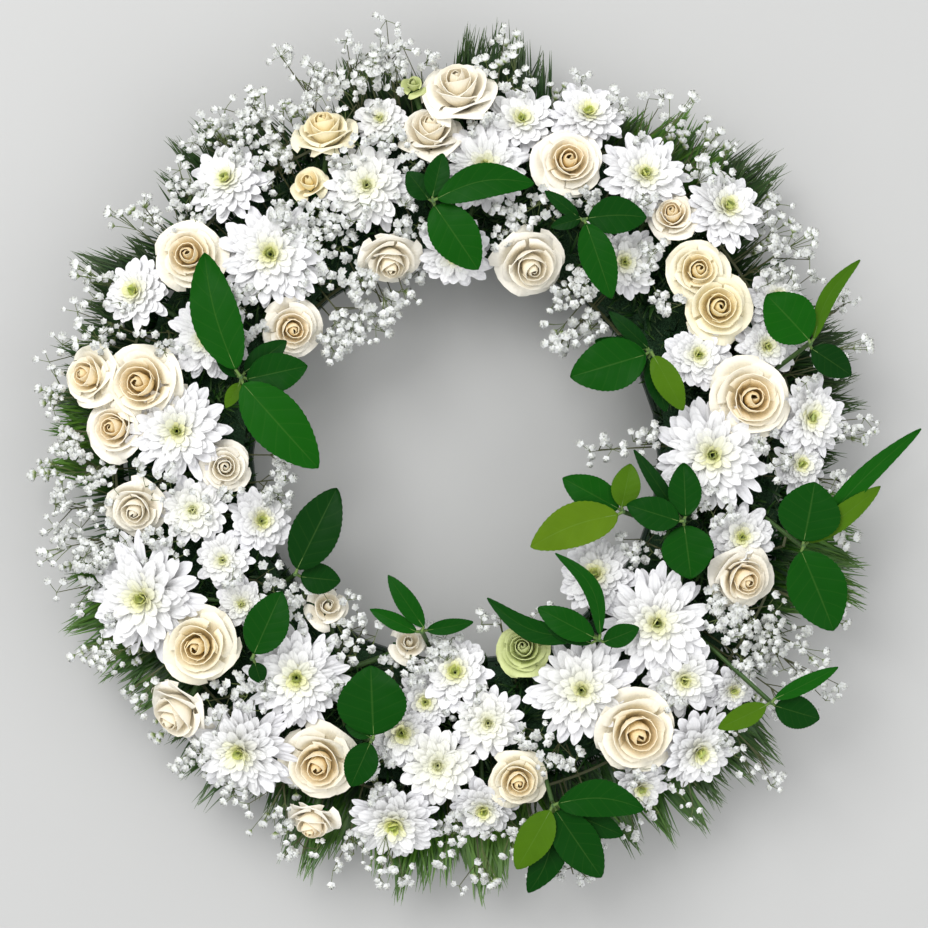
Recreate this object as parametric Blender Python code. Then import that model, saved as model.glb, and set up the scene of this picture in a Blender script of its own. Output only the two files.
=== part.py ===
"""Flower wreath lying flat: roses, chrysanthemums, rose leaves, baby's breath and palm on a foam ring."""

import math
import random

import bmesh
import bpy
import numpy as np
from mathutils import Vector
from mathutils.bvhtree import BVHTree

MM = 0.001

# Placement: names carry a place in picture units, across and down; one unit is UNIT on the wreath.
UNIT = 0.68 * MM
PLAN_CENTRE = (470.5, 463.0)
RING_AT = (455.0, 458.0)

# Tray and foam.
TRAY_INNER = 145.0 * MM
TRAY_OUTER = 232.0 * MM
TRAY_FLOOR = 3.0 * MM
TRAY_RIM = 12.0 * MM
TRAY_WALL = 2.5 * MM
FOAM_INNER = 148.0 * MM
FOAM_OUTER = 229.0 * MM
FOAM_TOP = 60.0 * MM
FOAM_SHOULDER = 10.0 * MM
SEAT_GAP = 0.3 * MM
RING_SEGMENTS = 28

# Stems.
ROSE_STEM = 2.4 * MM
MUM_STEM = 2.0 * MM
LEAF_STEM = 1.6 * MM
STEM_DEPTH = 24.0 * MM
HOLE_ROOM = 0.4 * MM
STEM_INNER_LIMIT = 165.0 * MM
STEM_OUTER_LIMIT = 207.0 * MM
FORK_HEIGHT = 67.0 * MM

# Blooms.
MUM_HEIGHT = 84.0 * MM
ROSE_HEIGHT = 90.0 * MM
BLOOM_GAP = 0.4 * MM

# Leaves.
LEAF_HEIGHT = 112.0 * MM
LEAF_THICK = 1.25 * MM
LEAF_STEP = 3.2 * MM
STALK = 1.2 * MM

# Baby's breath and palm.
BREATH_RIB = 1.3 * MM
BREATH_TWIG = 0.7 * MM
FLORET = 6.6 * MM
PALM_RIB = 1.8 * MM
PALM_HEIGHT = 36.0 * MM
BREATH_HEIGHT = 60.0 * MM

# Heads: across, down, radius in picture units, lift in mm.
MUM_SPRAYS = {
    "mum_spray_north_west": ((228, 182, 42, 0), (271, 255, 52, 2)),
    "mum_spray_west_high": ((137, 293, 36, 0), (208, 338, 42, -2)),
    "mum_spray_north_left": ((367, 186, 44, 2), (380, 120, 28, -3)),
    "mum_spray_north": ((485, 166, 45, 0), (455, 250, 38, -2)),
    "mum_spray_north_right": ((521, 121, 38, -2), (587, 115, 37, -2)),
    "mum_spray_north_east": ((643, 177, 46, 0), (724, 210, 42, 2), (625, 262, 36, -2)),
    "mum_spray_east_high": ((775, 300, 32, -2), (698, 355, 34, 2), (765, 347, 34, 0)),
    "mum_spray_east": ((711, 455, 58, 2), (808, 418, 42, -2), (800, 464, 30, -4)),
    "mum_spray_east_low": ((742, 537, 34, -3), (656, 622, 56, 3), (600, 578, 40, -2)),
    "mum_spray_south_east": ((683, 679, 42, -2), (581, 689, 53, 2), (733, 690, 25, -4)),
    "mum_spray_south_right": ((697, 748, 42, 0), (640, 787, 30, -4)),
    "mum_spray_south": ((455, 675, 38, 0), (425, 703, 30, -3), (488, 723, 36, 0)),
    "mum_spray_south_left": ((402, 733, 38, -2), (438, 764, 42, 3)),
    "mum_spray_south_low": ((395, 820, 46, -2), (483, 808, 34, -2)),
    "mum_spray_south_west": ((243, 747, 54, 0), (297, 677, 52, 2)),
    "mum_spray_west_low": ((148, 596, 62, 2), (241, 604, 28, -2)),
    "mum_spray_west": ((222, 560, 30, -2), (193, 510, 34, 0), (258, 522, 34, -4), (178, 431, 52, 2)),
}

ROSES = {
    "rose_pair_north_west": ((325, 133, 31, 2), (309, 184, 20, -2)),
    "rose_trio_north": ((459, 92, 38, 4), (430, 134, 32, 0), (413, 84, 14, -2)),
    "rose_north": ((568, 163, 34, 4),),
    "rose_inner_north": ((530, 262, 35, 0),),
    "rose_inner_north_west": ((390, 258, 30, 0),),
    "rose_trio_north_east": ((673, 216, 25, 0), (697, 271, 30, 2), (717, 308, 34, 4)),
    "rose_east": ((750, 399, 40, 4),),
    "rose_east_low": ((742, 577, 32, -1),),
    "rose_south_east": ((636, 730, 42, 4),),
    "rose_south": ((518, 779, 29, 2),),
    "rose_pair_south_west": ((320, 762, 38, 0), (312, 822, 26, -3)),
    "rose_pair_west_low": ((178, 712, 34, -2), (200, 645, 38, 4)),
    "rose_pair_west_inner": ((136, 507, 30, -2), (224, 467, 26, -3)),
    "rose_trio_west": ((117, 428, 32, 0), (144, 384, 40, 4), (90, 376, 30, 0)),
    "rose_west_high": ((190, 256, 34, 3),),
    "rose_inner_west": ((291, 328, 30, -2),),
    "rose_bud_south": ((524, 650, 27, 0),),
    "rose_pair_inner_south": ((408, 645, 20, -2), (326, 608, 22, -3)),
}

# Leaf sprays: fork place and lift in mm, then leaflets as base, tip, width, sideways bow, level.
LEAVES = {
    "leaf_spray_north": ((434, 205, 0), (
        (433, 201, 443, 158, 24, 0.0, 1), (429, 202, 408, 175, 24, 0.0, -1),
        (438, 203, 533, 188, 34, 0.10, 2), (435, 209, 478, 272, 46, 0.0, 0))),
    "leaf_spray_north_right": ((582, 224, 0), (
        (586, 222, 644, 221, 36, 0.04, 1), (584, 228, 609, 301, 34, 0.0, 2),
        (577, 220, 544, 194, 14, 0.0, -1))),
    "leaf_spray_north_east": ((806, 345, -4), (
        (804, 341, 763, 297, 50, 0.0, 1), (809, 350, 848, 376, 30, 0.0, -1),
        (810, 340, 856, 262, 16, 0.1, 0))),
    "leaf_spray_inner_east": ((648, 353, -4), (
        (644, 350, 594, 342, 26, 0.1, -1), (643, 356, 569, 378, 50, 0.0, 1),
        (651, 358, 680, 411, 26, 0.0, 2), (647, 359, 664, 412, 22, 0.0, 0))),
    "leaf_spray_east": ((680, 520, 1), (
        (682, 515, 680, 463, 32, 0.0, 1), (675, 520, 624, 504, 32, 0.0, 2),
        (681, 525, 688, 577, 50, 0.0, 0))),
    "leaf_spray_inner_east_low": ((621, 511, -8), (
        (617, 508, 562, 478, 34, 0.0, 0), (620, 506, 629, 464, 28, 0.0, 1),
        (616, 514, 530, 546, 42, -0.06, 2))),
    "leaf_spray_inner_south_east": ((597, 637, -3), (
        (598, 632, 554, 552, 17, -0.16, 2), (592, 635, 537, 606, 28, 0.0, 1),
        (590, 632, 487, 597, 22, 0.14, -1), (602, 640, 637, 626, 22, 0.0, 0))),
    "leaf_spray_inner_south": ((422, 630, -6), (
        (424, 625, 389, 574, 20, 0.0, 1), (417, 630, 371, 608, 16, 0.0, 0),
        (427, 629, 473, 621, 15, 0.0, -1))),
    "leaf_spray_inner_west_low": ((297, 573, -8), (
        (299, 568, 338, 488, 46, 0.0, 1), (302, 576, 341, 580, 30, 0.0, -1))),
    "leaf_spray_west_low": ((255, 656, -3), (
        (257, 651, 284, 590, 42, 0.0, 1), (257, 661, 263, 681, 18, 0.0, -1))),
    "leaf_spray_west": ((244, 378, -3), (
        (239, 371, 208, 256, 46, 0.04, 2), (247, 373, 288, 342, 24, 0.0, -1),
        (250, 380, 309, 367, 38, 0.0, 0), (246, 385, 320, 468, 52, 0.0, 1))),
    "leaf_spray_south_west": ((374, 735, 0), (
        (375, 731, 372, 663, 66, 0.0, 1), (371, 740, 352, 783, 32, 0.0, -1))),
    "leaf_spray_south": ((552, 800, -3), (
        (557, 798, 641, 804, 36, 0.1, 2), (549, 806, 516, 864, 34, 0.0, 1),
        (559, 804, 622, 832, 28, 0.0, -1), (555, 807, 600, 873, 42, 0.0, 0),
        (551, 810, 528, 890, 34, 0.1, -2))),
    "leaf_spray_east_outer": ((798, 545, -2), (
        (799, 540, 810, 482, 60, 0.0, 1), (796, 550, 828, 628, 56, 0.0, 2),
        (804, 541, 876, 486, 22, 0.0, 0), (806, 540, 917, 429, 20, 0.04, -1))),
    "leaf_spray_south_east": ((768, 700, -6), (
        (771, 696, 834, 665, 16, 0.0, 1), (763, 703, 716, 726, 22, 0.0, 0),
        (773, 704, 817, 717, 32, 0.0, -1))),
}

# Palm fans: across and down of the middle of each fan's tips, half spread in degrees.
PALM_FANS = (
    (165, 115, 8), (62, 245, 7), (26, 335, 10), (24, 460, 5), (56, 665, 12), (165, 800, 6),
    (240, 860, 6), (318, 898, 5), (424, 923, 5), (515, 918, 5), (690, 868, 12), (787, 795, 4),
    (897, 560, 9), (889, 380, 11), (790, 150, 5), (742, 105, 6), (690, 75, 6), (535, 10, 10),
    (375, 24, 6),
)
PALM_RIBS = {
    "palm_frond_east": (-33.0, 69.0),
    "palm_frond_north": (72.0, 193.0),
    "palm_frond_south": (196.0, 324.0),
}
BREATH_RIBS = {
    "breath_spray_north_east": (-18.0, 88.0, 1, 1.0),
    "breath_spray_north_west": (91.0, 216.0, 1, 1.5),
    "breath_spray_south": (219.0, 339.0, 1, 1.0),
    "breath_spray_inner_west": (99.0, 150.0, -1, 1.2),
    "breath_spray_inner_east": (34.0, 72.0, -1, 1.2),
}

# Ring, rim and top levels of a bloom of radius 1: kind, then radius and height of notch and tip.
MUM_LEVELS = (
    ("ring", 0.20, -0.24),
    ("star", 0.54, -0.05, 1.00, 0.03),
    ("ring", 0.47, 0.14),
    ("star", 0.44, 0.19, 0.76, 0.34),
    ("ring", 0.28, 0.26),
    ("star", 0.25, 0.27, 0.44, 0.50),
    ("top", 0.0, 0.30),
)
SMALL_MUM_LEVELS = (
    ("ring", 0.20, -0.24),
    ("star", 0.50, -0.04, 1.00, 0.05),
    ("ring", 0.40, 0.16),
    ("star", 0.34, 0.22, 0.64, 0.42),
    ("top", 0.0, 0.32),
)
ROSE_LEVELS = (
    ("ring", 0.16, -0.60),
    ("ring", 0.62, -0.28),
    ("star", 0.86, 0.06, 1.00, 0.13),
    ("ring", 0.66, 0.24),
    ("star", 0.62, 0.42, 0.74, 0.55),
    ("ring", 0.44, 0.44),
    ("star", 0.36, 0.56, 0.40, 0.70),
    ("top", 0.0, 0.50),
)


def plan(across, down, height=0.0):
    """Place on the wreath of a point given in picture units."""
    x = (across - PLAN_CENTRE[0]) * UNIT
    y = (PLAN_CENTRE[1] - down) * UNIT
    return np.array((x, y, height))


RING = plan(*RING_AT)


def polar(radius, degrees, height):
    """Point at a radius and bearing about the ring's centre."""
    angle = math.radians(degrees)
    return RING + np.array((radius * math.cos(angle), radius * math.sin(angle), height))


def ring_radius(point):
    return math.hypot(point[0] - RING[0], point[1] - RING[1])


def bearing(point):
    return math.degrees(math.atan2(point[1] - RING[1], point[0] - RING[0]))


def unit(vector):
    return vector / max(np.linalg.norm(vector), 1e-12)


def material(name, colour, roughness):
    made = bpy.data.materials.new(name)
    made.use_nodes = True
    shader = made.node_tree.nodes["Principled BSDF"]
    shader.inputs["Base Color"].default_value = (*colour, 1.0)
    shader.inputs["Roughness"].default_value = roughness
    shader.inputs["Metallic"].default_value = 0.0
    return made


def mesh_object(name, verts, faces, finish=None, smooth=False):
    """Closed mesh object with its faces turned outward."""
    mesh = bpy.data.meshes.new(name)
    mesh.from_pydata([tuple(float(c) for c in v) for v in verts], [], faces)
    work = bmesh.new()
    work.from_mesh(mesh)
    bmesh.ops.recalc_face_normals(work, faces=work.faces)
    work.to_mesh(mesh)
    work.free()
    for face in mesh.polygons:
        face.use_smooth = smooth
    thing = bpy.data.objects.new(name, mesh)
    bpy.context.scene.collection.objects.link(thing)
    if finish:
        mesh.materials.append(finish)
    return thing


def tube(points, radius, sides):
    """Closed tube of few sides along a line of points."""
    points = [np.array(p, dtype=float) for p in points]
    verts = []
    faces = []
    side = None
    for i, point in enumerate(points):
        ahead = points[min(i + 1, len(points) - 1)] - points[max(i - 1, 0)]
        ahead = unit(ahead)
        if side is None:
            side = np.array((0.31, 0.95, 0.12))
        side = unit(side - ahead * float(side @ ahead))
        other = np.cross(ahead, side)
        for k in range(sides):
            turn = 2.0 * math.pi * k / sides
            verts.append(point + radius * (side * math.cos(turn) + other * math.sin(turn)))
    for i in range(len(points) - 1):
        for k in range(sides):
            low = i * sides + k
            nxt = i * sides + (k + 1) % sides
            faces.append((low, nxt, nxt + sides))
            faces.append((low, nxt + sides, low + sides))
    faces.append(tuple(reversed(range(sides))))
    faces.append(tuple(range((len(points) - 1) * sides, len(points) * sides)))
    return verts, faces


def join(name, parts, finish):
    """One Boolean union of a node's pieces into one closed body."""
    group = bpy.data.collections.new(name + "_pieces")
    bpy.context.scene.collection.children.link(group)
    base = mesh_object(name, *parts[0], finish)
    if len(parts) > 1:
        for index, (verts, faces) in enumerate(parts[1:]):
            piece = mesh_object(name + "_piece_" + str(index), verts, faces, finish)
            bpy.context.scene.collection.objects.unlink(piece)
            group.objects.link(piece)
            piece.hide_render = True
            piece.display_type = "WIRE"
        for solver in ("EXACT", "MANIFOLD"):
            union = base.modifiers.new("union", "BOOLEAN")
            union.operation = "UNION"
            union.operand_type = "COLLECTION"
            union.collection = group
            union.solver = solver
            ready = base.evaluated_get(bpy.context.evaluated_depsgraph_get())
            mesh = bpy.data.meshes.new_from_object(ready)
            base.modifiers.remove(union)
            if closed(mesh):
                break
            print("solver", solver, "left", name, "open")
        old = base.data
        base.data = mesh
        bpy.data.meshes.remove(old)
    for piece in list(group.objects):
        bpy.data.objects.remove(piece)
    bpy.data.collections.remove(group)
    tidy(base)
    return base


def closed(mesh):
    """True where every edge joins two faces."""
    work = bmesh.new()
    work.from_mesh(mesh)
    fine = len(work.faces) > 0 and all(len(edge.link_faces) == 2 for edge in work.edges)
    work.free()
    return fine


def tidy(thing):
    """Keeps the largest body of a mesh, merges doubled points and splits faces into triangles."""
    for merge, flat in ((0.00002, 0.002), (0.00002, 0.0), (0.000002, 0.0)):
        work = bmesh.new()
        work.from_mesh(thing.data)
        bmesh.ops.remove_doubles(work, verts=work.verts, dist=merge)
        bmesh.ops.dissolve_degenerate(work, edges=work.edges, dist=merge)
        if flat > 0.0:
            bmesh.ops.dissolve_limit(work, angle_limit=flat, verts=work.verts, edges=work.edges)
        bmesh.ops.triangulate(work, faces=work.faces)
        if all(len(edge.link_faces) == 2 for edge in work.edges):
            break
        print("open edges in", thing.name, "at", merge, flat)
    islands = []
    seen = set()
    for start in work.verts:
        if start.index in seen:
            continue
        stack = [start]
        seen.add(start.index)
        island = []
        while stack:
            vert = stack.pop()
            island.append(vert)
            for edge in vert.link_edges:
                other = edge.other_vert(vert)
                if other.index not in seen:
                    seen.add(other.index)
                    stack.append(other)
        islands.append(island)
    islands.sort(key=len, reverse=True)
    for scrap in islands[1:]:
        print("dropped a scrap of", len(scrap), "points from", thing.name)
        bmesh.ops.delete(work, geom=scrap, context="VERTS")
    bmesh.ops.recalc_face_normals(work, faces=work.faces)
    work.to_mesh(thing.data)
    work.free()
    for face in thing.data.polygons:
        face.use_smooth = False


def nearest_side(points, centre):
    """Plane between a centre and the hull of some points: its normal and its distance."""
    offset = np.asarray(points) - centre
    near = offset.mean(axis=0)
    for _ in range(80):
        corner = offset[int(np.argmin(offset @ near))]
        step = corner - near
        size = float(step @ step)
        if size < 1e-16:
            break
        part = min(max(-float(near @ step) / size, 0.0), 1.0)
        if part < 1e-6:
            break
        near = near + part * step
    normal = unit(near)
    return normal, float((offset @ normal).min())


def point_gap(spot, line):
    """Distance of a point from a straight piece of stem."""
    along = line[1] - line[0]
    share = float((spot - line[0]) @ along) / max(float(along @ along), 1e-12)
    near = line[0] + along * min(max(share, 0.0), 1.0)
    return float(np.linalg.norm(spot - near))


def line_gaps(line, starts, ends):
    """Least distance from one straight piece of stem to each of many others."""
    count = max(int(np.linalg.norm(line[1] - line[0]) / (2.0 * MM)), 2)
    share = np.linspace(0.0, 1.0, count + 1)[:, None]
    spots = line[0] + (line[1] - line[0]) * share
    along = ends - starts
    length = np.maximum((along * along).sum(axis=1), 1e-12)
    apart = spots[:, None, :] - starts[None, :, :]
    place = np.clip((apart * along[None, :, :]).sum(axis=2) / length[None, :], 0.0, 1.0)
    near = apart - along[None, :, :] * place[:, :, None]
    return np.sqrt((near * near).sum(axis=2)).min(axis=0)


class Head:
    """One bloom: its place, size, lean and the flat sides that keep it clear of its neighbours."""

    def __init__(self, node, kind, across, down, size, lift):
        self.node = node
        self.kind = kind
        self.radius = size * UNIT
        base = MUM_HEIGHT if kind == "mum" else ROSE_HEIGHT
        spot = plan(across, down)
        reach = ring_radius(spot)
        kept = min(max(reach, 172.0 * MM), 200.0 * MM)
        lean = (reach - kept) / (70.0 * MM)
        outward = np.array((spot[0] - RING[0], spot[1] - RING[1], 0.0)) / reach
        self.axis = unit(np.array((0.0, 0.0, 1.0)) + outward * lean * 0.7)
        self.centre = np.array((spot[0], spot[1], base + lift * MM - abs(lean) * 9.0 * MM))
        foot = 0.20 if kind == "mum" else 0.52
        self.foot = self.centre - self.axis * self.radius * foot
        self.sides = []

    def limit(self, normal, distance):
        self.sides.append((normal, distance))


class Stem:
    """A straight piece of stem of one node."""

    def __init__(self, node, start, end, radius):
        self.node = node
        self.line = (np.array(start), np.array(end))
        self.radius = radius


def stem_cost(lines, radius, node, heads, stems):
    """How much the pieces of a stem would trouble other blooms and stems."""
    cost = 0.0
    others = [stem for stem in stems if stem.node != node]
    for line in lines:
        if others:
            starts = np.array([stem.line[0] for stem in others])
            ends = np.array([stem.line[1] for stem in others])
            girths = np.array([stem.radius for stem in others])
            gaps = line_gaps(line, starts, ends) - radius - girths
            short = gaps[gaps < 1.4 * MM]
            cost += len(short) + float((1.4 * MM - short).sum()) * 2000.0
        for head in heads:
            if head.node == node:
                continue
            distance = point_gap(head.centre, line)
            shortage = 0.92 * head.radius - distance
            if shortage > 0.0:
                cost += (shortage / head.radius) ** 2 * 2.0
            if distance < 0.45 * head.radius:
                cost += 1.5
    return cost


def spray_paths(node, heads, own, radius, stems):
    """Fork, branches and foot of a spray, at the place among the candidates that troubles least."""
    middle = sum(head.centre for head in own) / len(own)
    best = None
    for ring_shift in range(-4, 5):
        for turn_shift in range(-4, 5):
            reach = ring_radius(middle) + ring_shift * 6.0 * MM
            reach = min(max(reach, STEM_INNER_LIMIT), STEM_OUTER_LIMIT)
            angle = bearing(middle) + turn_shift * 1.9
            entry = polar(reach, angle, FOAM_TOP + 1.5 * MM)
            bottom = entry - np.array((0.0, 0.0, STEM_DEPTH))
            fork = polar(reach, angle, FORK_HEIGHT)
            lines = [(entry, bottom), (fork, entry)]
            lines += [(head.foot, fork) for head in own]
            cost = stem_cost(lines, radius, node, heads, stems)
            cost += sum(float(np.linalg.norm(head.foot - fork)) for head in own) * 4.0
            if best is None or cost < best[0]:
                best = (cost, fork, entry, bottom, lines)
    return best


def leaf_path(node, fork, heads, radius, stems):
    """Line of a leafy stem from its fork down into the foam, clear of blooms and other stems."""
    best = None
    inner = ring_radius(fork) < 156.0 * MM
    for turn_shift in range(-9, 10):
        for step in range(7):
            angle = bearing(fork) + turn_shift * 1.6
            if inner:
                height = (38.0 + 2.5 * step) * MM
                entry = polar(FOAM_INNER, angle, height)
                bottom = polar(FOAM_INNER + 11.0 * MM, angle, height - 6.0 * MM)
                knee = polar(FOAM_INNER - 9.0 * MM, angle, height + 5.0 * MM)
            else:
                reach = ring_radius(fork) + (step - 3) * 8.0 * MM
                reach = min(max(reach, STEM_INNER_LIMIT), STEM_OUTER_LIMIT)
                entry = polar(reach, angle, FOAM_TOP + 1.5 * MM)
                bottom = entry - np.array((0.0, 0.0, STEM_DEPTH))
                knee = polar(reach, angle, FOAM_TOP + 10.0 * MM)
            lines = [(entry, bottom), (knee, entry), (fork, knee)]
            cost = stem_cost(lines, radius, node, heads, stems)
            cost += float(np.linalg.norm(fork - knee)) * 3.0
            if best is None or cost < best[0]:
                best = (cost, knee, entry, bottom, lines)
    return best


def bloom(head, count, rng):
    """Closed mesh of a bloom: rings and pointed rims about its centre, held inside its own sides."""
    levels = MUM_LEVELS if head.kind == "mum" else ROSE_LEVELS
    if head.kind == "mum" and head.radius < 33.0 * MM:
        levels = SMALL_MUM_LEVELS
    across = unit(np.cross(head.axis, np.array((0.3, 1.0, 0.1))))
    other = np.cross(head.axis, across)
    spin = rng.uniform(0.0, 2.0 * math.pi)
    directions = []
    loops = []
    shift = 0
    jitter = 0.22 if head.kind == "mum" else 0.16
    for level in levels:
        if level[0] == "top":
            directions.append((0.0, 0.0, level[2]))
            loops.append([len(directions) - 1])
            continue
        loop = []
        for k in range(count):
            angle = (2 * k + shift) * math.pi / count + spin
            loop.append(len(directions))
            directions.append((level[1] * math.cos(angle), level[1] * math.sin(angle), level[2]))
            if level[0] == "star":
                angle += math.pi / count * (1.0 + rng.uniform(-jitter, jitter))
                stretch = rng.uniform(0.93, 1.07)
                lift = level[4] * stretch
                loop.append(len(directions))
                reach = level[3] * stretch
                directions.append((reach * math.cos(angle), reach * math.sin(angle), lift))
        loops.append(loop)
        if level[0] == "star":
            shift += 1
    faces = [tuple(loops[0])]
    for lower, upper in zip(loops[:-1], loops[1:]):
        if len(upper) == 1:
            for k in range(len(lower)):
                faces.append((lower[k], lower[(k + 1) % len(lower)], upper[0]))
        elif len(upper) == len(lower):
            for k in range(len(lower)):
                nxt = (k + 1) % len(lower)
                faces.append((lower[k], lower[nxt], upper[nxt]))
                faces.append((lower[k], upper[nxt], upper[k]))
        elif len(upper) > len(lower):
            for k in range(count):
                nxt = (k + 1) % count
                faces.append((lower[k], upper[2 * k + 1], upper[2 * k]))
                faces.append((lower[k], lower[nxt], upper[2 * k + 1]))
                faces.append((lower[nxt], upper[(2 * k + 2) % (2 * count)], upper[2 * k + 1]))
        else:
            for k in range(count):
                nxt = (k + 1) % count
                notch = lower[(2 * k + 2) % (2 * count)]
                faces.append((upper[k], lower[2 * k + 1], notch))
                faces.append((upper[k], notch, upper[nxt]))
                faces.append((upper[nxt], notch, lower[(2 * k + 3) % (2 * count)]))
    verts = []
    for x, y, z in directions:
        point = (across * x + other * y + head.axis * z) * head.radius
        share = 1.0
        for normal, distance in head.sides:
            toward = float(point @ normal)
            if toward > distance:
                share = min(share, max(distance, 0.1 * head.radius) / toward)
        verts.append(head.centre + point * share)
    return verts, faces


def leaflet(root, base, tip, width, bow):
    """Serrated arched blade from base to tip on its short stalk, folded a little along its midrib."""
    length = float(np.linalg.norm(tip - base))
    ahead = unit(tip - base)
    up = np.array((0.0, 0.0, 1.0))
    side = unit(np.cross(up, ahead))
    over = np.cross(ahead, side)
    if width > 33.0 * UNIT:
        stations = ((0.14, 0.62), (0.34, 1.0), (0.46, 0.88), (0.60, 0.96), (0.82, 0.52))
    elif width > 20.0 * UNIT:
        stations = ((0.18, 0.72), (0.42, 1.0), (0.54, 0.86), (0.72, 0.78))
    else:
        stations = ((0.24, 0.85), (0.52, 1.0), (0.66, 0.78))
    rows = [(root, STALK, 0.0)]
    for place, share in stations:
        arch = math.sin(math.pi * place)
        middle = base + ahead * length * place + side * bow * length * arch + over * 0.035 * length * arch
        rows.append((middle, 0.5 * width * share, 0.08 * width * share))
    verts = []
    faces = []
    for middle, half, raised in rows:
        verts.append(middle + side * half + over * raised)
        verts.append(middle)
        verts.append(middle - side * half + over * raised)
        verts.append(middle - over * LEAF_THICK)
    verts.append(tip)
    for i in range(len(rows) - 1):
        for k in range(4):
            low = 4 * i + k
            nxt = 4 * i + (k + 1) % 4
            faces.append((low, nxt, nxt + 4))
            faces.append((low, nxt + 4, low + 4))
    last = 4 * (len(rows) - 1)
    for k in range(4):
        faces.append((last + k, last + (k + 1) % 4, last + 4))
    faces.append((3, 2, 1, 0))
    return verts, faces


def edged_rib(name, places, radius, shoots, finish, centre_out):
    """Three-sided rib with needles or twigs drawn straight out of its outer faces."""
    verts = []
    faces = []
    for place in places:
        outward = unit(np.array((place[0] - RING[0], place[1] - RING[1], 0.0))) * centre_out
        up = np.array((0.0, 0.0, 1.0))
        verts.append(place + outward * radius)
        verts.append(place - outward * radius * 0.6 + up * radius)
        verts.append(place - outward * radius * 0.6 - up * radius)
    for i in range(len(places) - 1):
        for k in range(3):
            nxt = (k + 1) % 3
            quad = (3 * i + k, 3 * i + nxt, 3 * i + 3 + nxt, 3 * i + 3 + k)
            shoot = shoots.get((i, k))
            if shoot is None:
                faces.append(quad[:3])
                faces.append((quad[0], quad[2], quad[3]))
                continue
            end, size = shoot
            if size <= 0.0:
                verts.append(end)
                for j in range(4):
                    faces.append((quad[j], quad[(j + 1) % 4], len(verts) - 1))
                continue
            corners = [verts[index] for index in quad]
            middle = sum(corners) / 4.0
            ahead = unit(end - middle)
            loops = [list(quad)]
            for back, spread in ((size * 0.8, BREATH_TWIG), (-size * 0.1, size)):
                loop = []
                for corner in corners:
                    away = corner - middle
                    away = unit(away - ahead * float(away @ ahead))
                    loop.append(len(verts))
                    verts.append(end - ahead * back + away * spread)
                loops.append(loop)
            for lower, upper in zip(loops[:-1], loops[1:]):
                for j in range(4):
                    nxt = (j + 1) % 4
                    faces.append((lower[j], lower[nxt], upper[nxt]))
                    faces.append((lower[j], upper[nxt], upper[j]))
            verts.append(end + ahead * size * 0.6)
            for j in range(4):
                faces.append((loops[-1][j], loops[-1][(j + 1) % 4], len(verts) - 1))
    faces.append((2, 1, 0))
    top = len(places) * 3 - 3
    faces.append((top, top + 1, top + 2))
    thing = mesh_object(name, verts, faces, finish)
    tidy(thing)
    return thing


def lathe(name, profile, segments, finish):
    """Closed ring turned from a profile of radius and height about the ring's centre."""
    verts = []
    faces = []
    count = len(profile)
    for i in range(segments):
        for radius, height in profile:
            verts.append(polar(radius, 360.0 * i / segments, height))
    for i in range(segments):
        for k in range(count):
            a = i * count + k
            b = i * count + (k + 1) % count
            c = ((i + 1) % segments) * count + (k + 1) % count
            d = ((i + 1) % segments) * count + k
            faces.append((a, b, c, d))
    return mesh_object(name, verts, faces, finish, smooth=True)


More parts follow.
